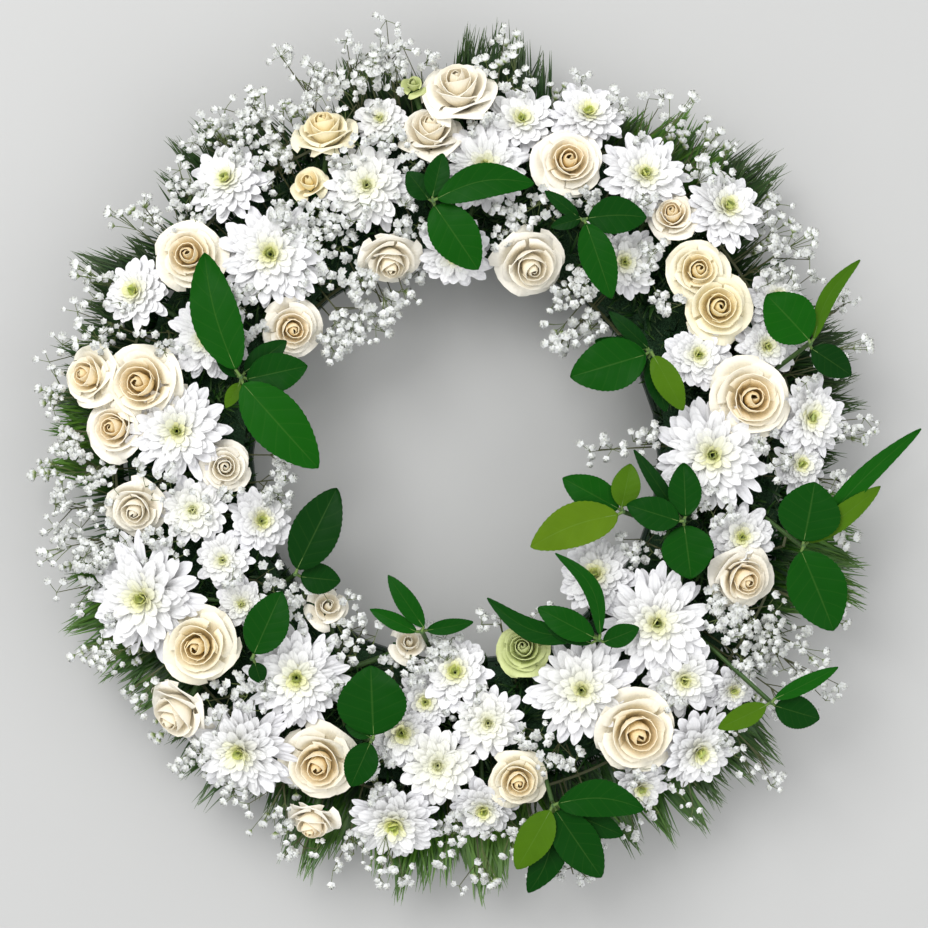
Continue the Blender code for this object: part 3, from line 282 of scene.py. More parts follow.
# Sprigs in the foam: number a quarter, ring radii, height of the roots, outward pull, length and rise in mm.
SPRIGS = (
    (205, 156.0, 222.0, 58.0, 0.0, 20.0, 20.0),
    (125, 228.0, 229.0, 42.0, 30.0, 14.0, 14.0),
    (85, 226.0, 228.0, 22.0, 26.0, 12.0, 6.0),
    (50, 148.0, 149.0, 40.0, -5.0, 8.0, 14.0),
)


def plan(across, down, height=0.0):
    """Place on the wreath of a point given in picture units."""
    return np.array(((across - PLAN_CENTRE[0]) * UNIT, (PLAN_CENTRE[1] - down) * UNIT, height))


RING = plan(*RING_AT)


def up(height):
    return np.array((0.0, 0.0, height))


def at_height(point, height):
    return np.array((point[0], point[1], height))


def around(angle, reach, rise):
    """Step of a reach in a direction seen from above, with a rise."""
    return np.array((reach * math.cos(angle), reach * math.sin(angle), rise))


def polar(radius, degrees, height):
    """Point at a radius and bearing about the ring's centre."""
    return RING + around(math.radians(degrees), radius, height)


def ring_radius(point):
    return math.hypot(point[0] - RING[0], point[1] - RING[1])


def bearing(point):
    return math.degrees(math.atan2(point[1] - RING[1], point[0] - RING[0]))


def unit(vector):
    return vector / max(float(np.linalg.norm(vector)), 1e-12)


def clamp(value, low, high):
    return min(max(value, low), high)


def petal_share(rim):
    """Place of a rose petal from the heart, 0, to the guard petals, 1."""
    return clamp((rim - 0.06) / 0.94, 0.0, 1.0)


def moved(points, matrix):
    return points @ matrix[:3, :3].T + matrix[:3, 3]


def marked_mesh(name, points, edges=(), faces=(), **marks):
    """Mesh with marks kept on its points, each a number or three."""
    mesh = bpy.data.meshes.new(name)
    mesh.from_pydata(np.asarray(points, dtype=float).reshape(-1, 3).tolist(), edges, faces)
    for label, values in marks.items():
        values = np.asarray(values, dtype=float)
        kind, field = ("FLOAT_VECTOR", "vector") if values.ndim == 2 else ("FLOAT", "value")
        layer = mesh.attributes.new(label, kind, "POINT")
        layer.data.foreach_set(field, values.ravel())
    return mesh


# Node trees

def maths(operation, swapped=False):
    """A method of Wire that adds the maths node of an operation."""
    def method(self, other=0.0):
        first, second = (other, self) if swapped else (self, other)
        return self.board.add("ShaderNodeMath", {"operation": operation}, {0: first, 1: second})
    return method


class Wire:
    """A socket of a node tree that takes part in sums and products."""

    __add__ = maths("ADD")
    __radd__ = maths("ADD", True)
    __sub__ = maths("SUBTRACT")
    __rsub__ = maths("SUBTRACT", True)
    __mul__ = maths("MULTIPLY")
    __rmul__ = maths("MULTIPLY", True)
    __truediv__ = maths("DIVIDE")
    __pow__ = maths("POWER")
    cos = maths("COSINE")
    sin = maths("SINE")
    abs = maths("ABSOLUTE")
    least = maths("MINIMUM")
    most = maths("MAXIMUM")
    heading = maths("ARCTAN2")

    def __init__(self, board, socket):
        self.board = board
        self.socket = socket


class Board:
    """A node tree that is being wired."""

    def __init__(self, tree):
        self.tree = tree

    def port(self, node, key):
        if isinstance(key, int):
            return node.inputs[key]
        for socket in node.inputs:
            if socket.name == key and socket.enabled:
                return socket
        raise KeyError(key)

    def feed(self, socket, value):
        if isinstance(value, Wire):
            self.tree.links.new(value.socket, socket)
        elif socket.type == "RGBA" and len(value) == 3:
            socket.default_value = (*value, 1.0)
        else:
            socket.default_value = value

    def add(self, kind, settings=None, values=None, out=0):
        """A node of a kind: its settings first, then the values and links of its sockets."""
        node = self.tree.nodes.new(kind)
        for key, value in (settings or {}).items():
            if key == "stops":
                ramp = node.color_ramp
                while len(ramp.elements) < len(value):
                    ramp.elements.new(0.5)
                for stop, (place, colour) in zip(ramp.elements, value):
                    stop.position = place
                    stop.color = (*colour, 1.0)
            else:
                setattr(node, key, value)
        for key, value in (values or {}).items():
            self.feed(self.port(node, key), value)
        outputs = [socket for socket in node.outputs if socket.enabled]
        return Wire(self, outputs[out])


class Finish(Board):
    """A material's node tree."""

    def __init__(self, name, roughness, sheen):
        self.material = bpy.data.materials.new(name)
        self.material.use_nodes = True
        super().__init__(self.material.node_tree)
        self.shader = self.tree.nodes["Principled BSDF"]
        self.shader.inputs["Roughness"].default_value = roughness
        self.shader.inputs["Specular IOR Level"].default_value = sheen

    def mark(self, name):
        """A value kept on the mesh."""
        return self.add("ShaderNodeAttribute", {"attribute_name": name}, out=2)

    def spot(self):
        """Place on the piece."""
        return self.add("ShaderNodeTexCoord", out=3)

    def noise(self, size, detail=2.0):
        """Soft noise with cells of a size in metres."""
        return self.add("ShaderNodeTexNoise", {},
                        {"Vector": self.spot(), "Scale": 1.0 / size, "Detail": detail})

    def ramp(self, value, *stops):
        return self.add("ShaderNodeValToRGB", {"stops": stops}, {0: value})

    def blend(self, share, first, second, kind="MIX"):
        """Mix of two colours by a share, or one colour times another."""
        return self.add("ShaderNodeMix", {"data_type": "RGBA", "blend_type": kind, "clamp_factor": True},
                        {0: share, 6: first, 7: second})

    def colour(self, value):
        self.feed(self.shader.inputs["Base Color"], value)

    def gloss(self, value):
        self.feed(self.shader.inputs["Roughness"], value)

    def relief(self, height, depth, strength=1.0):
        bump = self.add("ShaderNodeBump", {}, {"Height": height, "Distance": depth, "Strength": strength})
        self.feed(self.shader.inputs["Normal"], bump)


def grown_tree(name, inputs):
    """A Geometry Nodes tree with named inputs, its board and the inputs as wires."""
    tree = bpy.data.node_groups.new(name, "GeometryNodeTree")
    tree.interface.new_socket(name="Geometry", in_out="INPUT", socket_type="NodeSocketGeometry")
    for label, kind in inputs:
        tree.interface.new_socket(name=label, in_out="INPUT", socket_type="NodeSocket" + kind)
    tree.interface.new_socket(name="Geometry", in_out="OUTPUT", socket_type="NodeSocketGeometry")
    board = Board(tree)
    entry = tree.nodes.new("NodeGroupInput")
    wires = {socket.name: Wire(board, socket) for socket in entry.outputs if socket.name}
    return tree, board, wires


def close_tree(board, geometry, finish):
    """Ends a tree in real geometry with its material."""
    real = board.add("GeometryNodeRealizeInstances", {}, {0: geometry})
    painted = board.add("GeometryNodeSetMaterial", {}, {"Geometry": real, "Material": finish})
    exit_node = board.tree.nodes.new("NodeGroupOutput")
    board.feed(exit_node.inputs[0], painted)


def grow(tree, base, **values):
    """Plain mesh that a tree makes from a base mesh with the given inputs."""
    thing = bpy.data.objects.new("seedling", base)
    bpy.context.scene.collection.objects.link(thing)
    rule = thing.modifiers.new("rule", "NODES")
    rule.node_group = tree
    keys = {item.name: item.identifier for item in tree.interface.items_tree if item.in_out == "INPUT"}
    for label, value in values.items():
        rule[keys[label.replace("_", " ")]] = value
    ready = thing.evaluated_get(bpy.context.evaluated_depsgraph_get())
    mesh = bpy.data.meshes.new_from_object(ready)
    bpy.data.objects.remove(thing)
    return mesh


MARKS = ("share", "along", "across", "tint")


class Batch:
    """Meshes gathered into one piece, with the marks that its materials read."""

    def __init__(self):
        self.points = []
        self.faces = []
        self.slots = []
        self.marks = {name: [] for name in MARKS}
        self.finishes = []
        self.total = 0

    def finish_index(self, finish):
        if finish not in self.finishes:
            self.finishes.append(finish)
        return self.finishes.index(finish)

    def add(self, points, faces, finish, **marks):
        points = np.asarray(points, dtype=float).reshape(-1, 3)
        index = self.finish_index(finish)
        self.points.append(points)
        for face in faces:
            self.faces.append(tuple(int(corner) + self.total for corner in face))
            self.slots.append(index)
        for name in MARKS:
            values = np.broadcast_to(np.asarray(marks.get(name, 0.0), dtype=float), (len(points),))
            self.marks[name].append(values)
        self.total += len(points)

    def add_mesh(self, mesh, finish, matrix=None, **marks):
        count = len(mesh.vertices)
        points = np.empty(count * 3)
        mesh.vertices.foreach_get("co", points)
        points = points.reshape(-1, 3)
        if matrix is not None:
            points = moved(points, matrix)
        for name in MARKS:
            layer = mesh.attributes.get(name)
            if name not in marks and layer is not None and layer.domain == "POINT":
                values = np.empty(count)
                layer.data.foreach_get("value", values)
                marks[name] = values
        self.add(points, [tuple(face.vertices) for face in mesh.polygons], finish, **marks)
        bpy.data.meshes.remove(mesh)

    def add_sheet(self, grid, thick, finish, matrix=None, **marks):
        """A grid of points as a closed shell that keeps its rows and columns as marks."""
        points, faces, along, across = shell(grid, thick)
        if matrix is not None:
            points = moved(points, matrix)
        self.add(points, faces, finish, along=along, across=across, **marks)

    def add_tubes(self, lines, sides, finish, flatness=1.0):
        """Tubes along lines."""
        mesh = grow(STEM_RULE, lines.mesh(), Sides=sides, Flatness=flatness, Finish=finish)
        self.add_mesh(mesh, finish)

    def build(self, name, crease=RIM_ANGLE):
        """The piece as an object, creased where two faces meet at more than an angle."""
        marks = {label: np.concatenate(values) for label, values in self.marks.items()}
        mesh = marked_mesh(name, np.concatenate(self.points), (), self.faces, **marks)
        for finish in self.finishes:
            mesh.materials.append(finish)
        mesh.polygons.foreach_set("material_index", self.slots)
        mesh.set_sharp_from_angle(angle=crease)
        mesh.update()
        thing = bpy.data.objects.new(name, mesh)
        bpy.context.scene.collection.objects.link(thing)
        return thing


def hand_over(piece, finish_slot, *nodes):
    """Puts a finished piece on the wreath's body, in the place of its CAD nodes."""
    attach(piece, "root")
    if nodes:
        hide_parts(*nodes)


class Lines:
    """Mesh of lines, each a run of points with its own girth and tint."""

    def __init__(self):
        self.points = []
        self.edges = []
        self.girths = []
        self.tints = []
        self.shares = []

    def run(self, points, girths, tint=0.0):
        start = len(self.points)
        for index, point in enumerate(points):
            self.points.append(point)
            self.girths.append(float(girths[index] if isinstance(girths, (tuple, list)) else girths))
            self.tints.append(float(tint))
            self.shares.append(index / max(len(points) - 1, 1))
            if index:
                self.edges.append((start + index - 1, start + index))

    def mesh(self):
        return marked_mesh("lines", self.points, self.edges, girth=self.girths, tint=self.tints,
                           along=self.shares)


class Breath:
    """Baby's breath in the making: its twigs and its florets."""

    def __init__(self):
        self.twigs = Lines()
        self.spots = []
        self.sizes = []
        self.facings = []

    def floret(self, knot, spot, bend, facing, size, girth):
        """A floret on a hair-thin stalk that runs from a knot and bends at its middle."""
        self.twigs.run((knot, (knot + spot) * 0.5 + bend, spot - facing * size * 0.6), girth, 0.3)
        self.spots.append(spot)
        self.sizes.append(size)
        self.facings.append(facing)

    def build(self, name, seed):
        base = marked_mesh("florets", self.spots, size=self.sizes, facing=self.facings)
        batch = Batch()
        batch.add_mesh(grow(FLORET_RULE, base, Floret=FLORET_BLANK, Seed=seed, Finish=FLORET), FLORET)
        batch.add_tubes(self.twigs, 3, WIRY_STEM)
        return batch.build(name, FACET_ANGLE)


def named(board, name, kind="FLOAT"):
    return board.add("GeometryNodeInputNamedAttribute", {"data_type": kind}, {"Name": name})


def stem_tree():
    """Tubes of few sides along lines, as thick as the girth kept on them."""
    tree, board, ports = grown_tree("stem_rule", (("Sides", "Int"), ("Flatness", "Float"),
                                                  ("Finish", "Material")))
    curve = board.add("GeometryNodeMeshToCurve", {}, {0: ports["Geometry"]})
    curve = board.add("GeometryNodeSetCurveNormal", {"mode": "Z_UP"}, {0: curve})
    round_profile = board.add("GeometryNodeCurvePrimitiveCircle", {"mode": "RADIUS"},
                              {"Resolution": ports["Sides"], "Radius": 1.0})
    size = board.add("ShaderNodeCombineXYZ", {}, {0: 1.0, 1: ports["Flatness"], 2: 1.0})
    profile = board.add("GeometryNodeTransform", {}, {"Geometry": round_profile, "Scale": size})
    tube = board.add("GeometryNodeCurveToMesh", {},
                     {"Curve": curve, "Profile Curve": profile, "Scale": named(board, "girth"),
                      "Fill Caps": True})
    close_tree(board, tube, ports["Finish"])
    return tree


def floret_tree():
    """A floret on every point, as big as the size and turned to the facing kept there."""
    tree, board, ports = grown_tree("floret_rule", (("Floret", "Object"), ("Seed", "Int"),
                                                    ("Finish", "Material")))
    facing = named(board, "facing", "FLOAT_VECTOR")
    size = named(board, "size")
    turn = board.add("FunctionNodeAlignRotationToVector", {"axis": "Z"}, {"Vector": facing})
    spin = board.add("FunctionNodeRandomValue", {"data_type": "FLOAT"},
                     {"Min": 0.0, "Max": FULL_TURN, "Seed": ports["Seed"]})
    about = board.add("FunctionNodeAxisAngleToRotation", {}, {"Axis": (0.0, 0.0, 1.0), "Angle": spin})
    turn = board.add("FunctionNodeRotateRotation", {"rotation_space": "LOCAL"}, {0: turn, 1: about})
    floret = board.add("GeometryNodeObjectInfo", {"transform_space": "ORIGINAL"},
                       {"Object": ports["Floret"]}, out=4)
    placed = board.add("GeometryNodeInstanceOnPoints", {},
                       {"Points": ports["Geometry"], "Instance": floret, "Rotation": turn, "Scale": size})
    close_tree(board, placed, ports["Finish"])
    return tree


def chrysanthemum_tree():
    """Petals of a chrysanthemum of radius 1: a golden spiral from the upright eye to the flat rim."""
    tree, board, ports = grown_tree("chrysanthemum_rule", (
        ("Petal", "Object"), ("Petals", "Int"), ("Petal Width", "Float"), ("Openness", "Float"),
        ("Seed", "Int"), ("Finish", "Material")))

    def stray(low, high, shift):
        return board.add("FunctionNodeRandomValue", {"data_type": "FLOAT"},
                         {"Min": low, "Max": high, "Seed": ports["Seed"] + shift})

    index = board.add("GeometryNodeInputIndex")
    share = (index + 0.5) / ports["Petals"]
    spiral = board.add("GeometryNodePoints", {}, {"Count": ports["Petals"]})
    kept = {"share": share, "bearing": index * GOLDEN_TURN + stray(-0.2, 0.2, 1),
            "reach": stray(0.92, 1.10, 2), "lift": stray(-0.08, 0.09, 3), "sway": stray(-0.14, 0.14, 4),
            "roll": stray(-0.35, 0.35, 5), "wide": stray(0.85, 1.2, 6)}
    for name, value in kept.items():
        spiral = board.add("GeometryNodeStoreNamedAttribute", {"data_type": "FLOAT", "domain": "POINT"},
                           {"Geometry": spiral, "Name": name, "Value": value})
    petal = board.add("GeometryNodeObjectInfo", {"transform_space": "ORIGINAL"},
                      {"Object": ports["Petal"]}, out=4)
    placed = board.add("GeometryNodeInstanceOnPoints", {}, {"Points": spiral, "Instance": petal})
    real = board.add("GeometryNodeRealizeInstances", {}, {0: placed})
    share, bearing_at, reach, lift, sway, roll, wide = [named(board, name) for name in kept]
    along, across, dip = [named(board, name) for name in ("along", "across", "dip")]
    open_eye = ports["Openness"]
    grown = ((share - 0.10 * open_eye) / (1.0 - 0.10 * open_eye)).most(0.0)
    tip_r = (0.15 + 0.85 * grown ** 0.72) * reach
    tip_z = 0.44 - 0.08 * open_eye - 0.41 * grown ** 1.8 + lift
    tip_r = tip_r - 0.10 * (1.0 - grown) ** 6.0
    base_r = 0.02 + 0.12 * share
    base_z = 0.24 - 0.30 * share
    mid_r = base_r + (tip_r - base_r) * (0.30 + 0.22 * grown)
    mid_z = base_z + (tip_z - base_z) * (0.66 - 0.2 * grown) + 0.14 * grown + 0.03
    back = 1.0 - along
    run = back * back * base_r + 2.0 * along * back * mid_r + along * along * tip_r
    rise = back * back * base_z + 2.0 * along * back * mid_z + along * along * tip_z
    run_slope = back * (mid_r - base_r) + along * (tip_r - mid_r)
    rise_slope = back * (mid_z - base_z) + along * (tip_z - mid_z)
    slope = rise_slope.heading(run_slope)
    half = ports["Petal Width"] * (0.72 + 0.28 * (grown * 2.0).least(1.0)) * wide * 0.5
    turn = roll * along
    flat = (across * turn.cos() - dip * turn.sin()) * half
    raised = (across * turn.sin() + dip * turn.cos()) * half
    aside = flat + sway * along * along * (tip_r - base_r)
    out_r = run - slope.sin() * raised
    out_z = rise + slope.cos() * raised
    x = out_r * bearing_at.cos() - aside * bearing_at.sin()
    y = out_r * bearing_at.sin() + aside * bearing_at.cos()
    spot = board.add("ShaderNodeCombineXYZ", {}, {0: x, 1: y, 2: out_z})
    shaped = board.add("GeometryNodeSetPosition", {}, {"Geometry": real, "Position": spot})
    close_tree(board, shaped, ports["Finish"])
    return tree


def pattern(name, points, faces, **marks):
    """A pattern object for the trees, kept out of the scene."""
    return bpy.data.objects.new(name, marked_mesh(name, points, (), faces, **marks))


def petal_blank():
    """Flat boat-shaped petal, closed, whose marks tell the rule where each point lies."""
    stations = ((0.0, 0.36), (0.20, 0.62), (0.45, 0.90), (0.70, 1.0), (0.88, 0.78), (0.965, 0.38))
    along, across, dip, faces = [], [], [], []
    for place, wide in stations:
        deep = 0.22 * math.sin(math.pi * min(0.15 + place * 0.8, 1.0))
        for side, depth in ((-1.0, 0.0), (0.0, -deep), (1.0, 0.0), (0.0, -deep - 0.08)):
            along.append(place)
            across.append(side * wide)
            dip.append(depth * wide + 0.14 * place * place)
    along.append(1.0)
    across.append(0.0)
    dip.append(0.14)
    for row in range(len(stations) - 1):
        for k in range(4):
            a = 4 * row + k
            b = 4 * row + (k + 1) % 4
            faces.append((a, b, b + 4, a + 4))
    last = 4 * (len(stations) - 1)
    for k in range(4):
        faces.append((last + k, last + (k + 1) % 4, last + 4))
    faces.append((3, 2, 1, 0))
    points = list(zip(along, across, dip))
    return pattern("petal_blank", points, faces, along=along, across=across, dip=dip)


def floret_blank():
    """Ruffled little flower on a green cup, of radius 1, closed."""
    points = [(0.0, 0.0, -0.75)]
    share = [1.0]
    levels = ((0.26, 0.26, -0.44, -0.44, 1.0), (1.0, 0.66, 0.12, -0.16, 0.25),
              (0.84, 0.42, 0.56, 0.14, 0.08), (0.46, 0.16, 0.86, 0.40, 0.0))
    for order, (outer, notch, high, low, tone) in enumerate(levels):
        for k in range(10):
            angle = math.pi * k / 5.0 + order * math.pi / 5.0
            tip = k % 2 == 0
            reach = outer if tip else notch
            points.append((reach * math.cos(angle), reach * math.sin(angle), high if tip else low))
            # Notch points sit 0.28 further along the finish's ramp than the tips: painted shade in the folds
            # between the lobes. The cup keeps its green.
            share.append(tone if tip or order == 0 else tone + 0.28)
    points.append((0.0, 0.0, 0.58))
    share.append(0.0)
    faces = [(0, 1 + (k + 1) % 10, 1 + k) for k in range(10)]
    for order in range(3):
        low = 1 + 10 * order
        high = low + 10
        for k in range(10):
            # Each whorl starts a fifth of half a turn on, so its points sit in the notches below.
            a, b = low + (k + 1) % 10, low + (k + 2) % 10
            c, d = high + (k + 1) % 10, high + k
            faces.append((a, b, c, d))
    top = len(points) - 1
    faces += [(31 + k, 31 + (k + 1) % 10, top) for k in range(10)]
    return pattern("floret_blank", points, faces, share=share)


# Finishes

def white_petal_finish():
    """White petals, cool towards the tips, cream and then green in the eye."""
    made = Finish("white_petal", 0.55, 0.25)
    share, along, tint = made.mark("share"), made.mark("along"), made.mark("tint")
    eye = made.ramp(share, (0.0, (0.30, 0.42, 0.01)), (0.03, (0.60, 0.66, 0.05)),
                    (0.085, (0.86, 0.85, 0.42)), (0.17, (0.87, 0.87, 0.70)), (0.32, (0.87, 0.87, 0.845)),
                    (1.0, (0.865, 0.86, 0.875)))
    pale = made.blend(((tint - 0.55) * (1.0 - share) * 1.2).most(0.0), eye, (0.84, 0.84, 0.58))
    base = made.blend((1.0 - along) ** 2.0 * 0.4, pale, (0.78, 0.79, 0.70))
    cloud = made.noise(0.035)
    tinted = made.blend(cloud * 0.30, base, (0.79, 0.775, 0.83))
    made.colour(tinted)
    streak = made.mark("across")
    made.relief((streak * 8.0).cos() * 0.6 + made.noise(0.0016, 3.0) * 0.4, 0.0004, 0.7)
    return made.material


def rose_petal_finish():
    """Ivory rose petals with a peach or lemon heart, by the tint of the head."""
    made = Finish("ivory_rose_petal", 0.5, 0.3)
    share, along, tint = made.mark("share"), made.mark("along"), made.mark("tint")
    rim = made.blend((tint - 0.5).most(0.0) * 1.4, (0.96, 0.92, 0.82), (0.94, 0.87, 0.58))
    warm = made.blend((tint - 0.6) * 2.5, (0.98, 0.80, 0.48), (0.97, 0.82, 0.44))
    heart = made.blend((tint * 2.0).least(1.0), (0.91, 0.87, 0.74), warm)
    inner = made.blend(((1.0 - share) ** 2.4) * 1.02 - 0.02, rim, heart)
    # Petals turn deep orange-yellow towards their feet, down in the heart's gaps: partly the rose's own
    # deeper heart colour, partly painted shade and painted warm bounce light in those gaps. White heads get
    # less of it.
    deep = made.blend((1.0 - along) ** 1.5 * (1.0 - share * 0.85), inner, (1.0, 0.74, 0.24))
    deep = made.blend((1.0 - tint * 2.0).most(0.0) * 0.7, deep, inner)
    green = made.blend((tint - 1.1) * 2.5, deep, (0.60, 0.66, 0.30))
    cloud = made.noise(0.012, 3.0)
    made.colour(made.blend(cloud * 0.3, green, (0.93, 0.90, 0.84), "MULTIPLY"))
    veins = (made.mark("across") * 46.0).cos() * 0.35 + made.noise(0.0022, 4.0)
    made.relief(veins, 0.00025, 0.45)
    return made.material


def leaf_finish():
    """Satin green leaf with a pale midrib, slanted side veins and a tone per leaflet: near-black green at
    the low end, which is painted shade for leaflets that lie in shadow, up to the leaf's own olive at the
    high end.
    """
    made = Finish("rose_leaf_green", 0.45, 0.05)
    along, across, tint = made.mark("along"), made.mark("across"), made.mark("tint")
    # Low tones are painted shade for leaflets lying low in the gaps and under blooms; the middle is the
    # leaf's own green and the top its own olive.
    green = made.ramp(tint, (0.0, (0.002, 0.024, 0.002)), (0.35, (0.003, 0.050, 0.002)),
                      (0.7, (0.005, 0.080, 0.002)), (0.86, (0.050, 0.135, 0.004)),
                      (1.0, (0.095, 0.180, 0.006)))
    side = across.abs()
    slant = (along * 40.0 - side * 8.0).cos()
    side_vein = (slant - 0.93).most(0.0) * 14.0
    midrib = (1.0 - side * 22.0).most(0.0)
    cloud = made.noise(0.012, 3.0)
    base = made.blend(cloud * 0.45, green, made.blend(0.45, green, (0.003, 0.022, 0.004)))
    veined = made.blend((side_vein * 0.05 + midrib * 0.24).least(0.5), base,
                        made.blend(0.5, green, (0.16, 0.30, 0.06)))
    made.colour(veined)
    made.gloss(made.noise(0.006) * 0.20 + 0.34)
    made.relief(slant * -0.12 + midrib * -0.5 + made.noise(0.0014, 2.0) * 0.15, 0.0005, 0.5)
    return made.material


def floret_finish():
    """White florets, with painted shade, grey-green, in the folds between their lobes, and green at the cup.
    """
    made = Finish("baby_breath_white", 0.6, 0.2)
    share = made.mark("share")
    # Notch points sit at 0.28 to 0.53 on this ramp, so the folds between lobes get painted shade,
    # grey-green; the cup is green.
    white = made.ramp(share, (0.0, (0.78, 0.80, 0.70)), (0.12, (0.88, 0.89, 0.86)),
                      (0.4, (0.90, 0.915, 0.92)), (0.75, (0.55, 0.62, 0.36)), (1.0, (0.16, 0.24, 0.06)))
    cloud = made.noise(0.02)
    made.colour(made.blend(cloud * 0.4, white, (0.82, 0.83, 0.80), "MULTIPLY"))
    made.relief(made.noise(0.0009, 2.0), 0.0003, 0.5)
    return made.material


def stem_finish(name, dark, light):
    """Stems mottled from dark to light, greener where they are young."""
    made = Finish(name, 0.55, 0.35)
    cloud = made.noise(0.006, 4.0)
    tone = made.blend(cloud, dark, light)
    made.colour(made.blend(made.mark("tint").least(1.0), tone, (0.16, 0.26, 0.05)))
    made.relief(cloud, 0.0004, 0.5)
    return made.material


def needle_finish():
    """Long narrow blades, from blackish to fresh green by the tint of the tuft."""
    made = Finish("palm_needle", 0.42, 0.4)
    tint, along = made.mark("tint"), made.mark("along")
    green = made.ramp(tint, (0.0, (0.006, 0.022, 0.010)), (0.35, (0.012, 0.060, 0.010)),
                      (0.7, (0.042, 0.150, 0.012)), (1.0, (0.110, 0.270, 0.020)))
    tip = made.blend(along ** 3.0 * 0.5, green, (0.14, 0.20, 0.06))
    cloud = made.noise(0.01, 3.0)
    made.colour(made.blend(cloud * 0.5, tip, (0.55, 0.62, 0.45), "MULTIPLY"))
    made.relief(made.noise(0.0008, 2.0), 0.0002, 0.4)
    return made.material


def foam_finish():
    """Crumbly wet floral foam."""
    made = Finish("wet_floral_foam", 0.92, 0.15)
    cell = made.add("ShaderNodeTexVoronoi", {}, {"Vector": made.spot(), "Scale": 900.0})
    cloud = made.noise(0.02, 4.0)
    tone = made.blend(cloud, (0.018, 0.050, 0.022), (0.035, 0.085, 0.036))
    made.colour(made.blend((cell * 1.2).least(1.0), (0.010, 0.028, 0.012), tone))
    made.relief(cell, 0.0012, 0.9)
    return made.material


def tray_finish():
    """Moulded dark green tray with a fine grain and scattered scuffs."""
    made = Finish("moulded_tray", 0.4, 0.5)
    cloud = made.noise(0.03, 4.0)
    scuff = made.noise(0.0035, 6.0)
    tone = made.blend(cloud, (0.010, 0.026, 0.014), (0.016, 0.040, 0.022))
    made.colour(made.blend((scuff - 0.62).most(0.0) * 2.5, tone, (0.07, 0.11, 0.08)))
    made.gloss(scuff * 0.3 + 0.3)
    made.relief(made.noise(0.0007, 2.0), 0.00015, 0.5)
    return made.material


def floor_finish():
    made = Finish("pale_floor", 0.8, 0.2)
    cloud = made.noise(0.25, 3.0)
    made.colour(made.blend(cloud, (0.50, 0.50, 0.49), (0.53, 0.53, 0.52)))
    return made.material


PETAL = white_petal_finish()
ROSE = rose_petal_finish()
LEAF = leaf_finish()
FLORET = floret_finish()
NEEDLE = needle_finish()
GREEN_STEM = stem_finish("green_stem", (0.030, 0.075, 0.018), (0.065, 0.130, 0.030))
WIRY_STEM = stem_finish("wiry_twig", (0.055, 0.060, 0.025), (0.110, 0.120, 0.050))
FOAM = foam_finish()
TRAY = tray_finish()

STEM_RULE = stem_tree()
FLORET_RULE = floret_tree()
MUM_RULE = chrysanthemum_tree()
PETAL_BLANK = petal_blank()
FLORET_BLANK = floret_blank()


# Pieces

def head_frame(across, down, size, lift, base, foot_depth, nod=()):
    """Centre, axis, radius and foot of a bloom, leaning out or in as it nears the ring's edges."""
    spot = plan(across, down)
    reach = ring_radius(spot)
    lean = (reach - clamp(reach, *LEAN_BAND)) / LEAN_RUN
    outward = np.array((spot[0] - RING[0], spot[1] - RING[1], 0.0)) / reach
    axis = unit(up(1.0) + outward * lean * LEAN_TILT)
    if nod:
        axis = unit(axis + np.array((nod[0], nod[1], 0.0)))
    centre = at_height(spot, base + lift * MM - abs(lean) * LEAN_SINK)
    radius = size * UNIT
    return centre, axis, radius, centre - axis * radius * foot_depth


def node_points(node):
    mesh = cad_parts[node].data
    points = np.empty(len(mesh.vertices) * 3)
    mesh.vertices.foreach_get("co", points)
    return points.reshape(-1, 3)


def stem_foot(node):
    """Lowest end of a node's stem, in the foam."""
    points = node_points(node)
    low = points[points[:, 2] < points[:, 2].min() + 0.8 * MM]
    return low.mean(axis=0)


def turned(centre, axis, spin, radius):
    """Matrix that takes a head of radius 1 to its place."""
    turn = Vector((0.0, 0.0, 1.0)).rotation_difference(Vector(axis)).to_matrix().to_4x4()
    return np.array(Matrix.Translation(Vector(centre)) @ turn @ Matrix.Rotation(spin, 4, "Z")
                    @ Matrix.Scale(radius, 4))


def bloom_stems(node, feet, girth):
    """Lines of a spray: up from the foam to the fork, and on to each head's foot."""
    bottom = stem_foot(node)
    entry = at_height(bottom, ENTRY_HEIGHT)
    fork = at_height(bottom, FORK_HEIGHT)
    lines = Lines()
    lines.run((bottom, entry, fork), girth)
    for foot, axis, reach in feet:
        start = fork if len(feet) > 1 else entry
        knee = (start + foot) * 0.5 + up(1.0 * MM) - axis * reach * 0.1
        lines.run((start, knee, foot, foot + axis * reach * 0.12), girth * 0.85)
    return lines


def build_chrysanthemums():
    rng = random.Random(11)
    for name, rows in MUM_SPRAYS.items():
        node = "mum_spray_" + name
        batch = Batch()
        feet = []
        for across, down, size, lift, openness in rows:
            centre, axis, radius, foot = head_frame(across, down, size, lift, MUM_HEIGHT, MUM_FOOT)
            radius *= MUM_SPREAD
            petals = next(count for over, count in MUM_PETALS if size > over)
            width = clamp(MUM_PETAL_WIDTH / size, *MUM_PETAL_BAND)
            seed = rng.randrange(10000)
            mesh = grow(MUM_RULE, bpy.data.meshes.new("empty"), Petal=PETAL_BLANK, Petals=petals,
                        Petal_Width=width, Openness=openness, Seed=seed, Finish=PETAL)
            matrix = turned(centre, axis, rng.uniform(0.0, ANY_TURN), radius)
            batch.add_mesh(mesh, PETAL, matrix, tint=openness)
            feet.append((foot, axis, radius))
        batch.add_tubes(bloom_stems(node, feet, MUM_STEM), 7, GREEN_STEM)
        piece = batch.build("chrysanthemums_" + name)
        hand_over(piece, "chrysanthemum_petal", node)


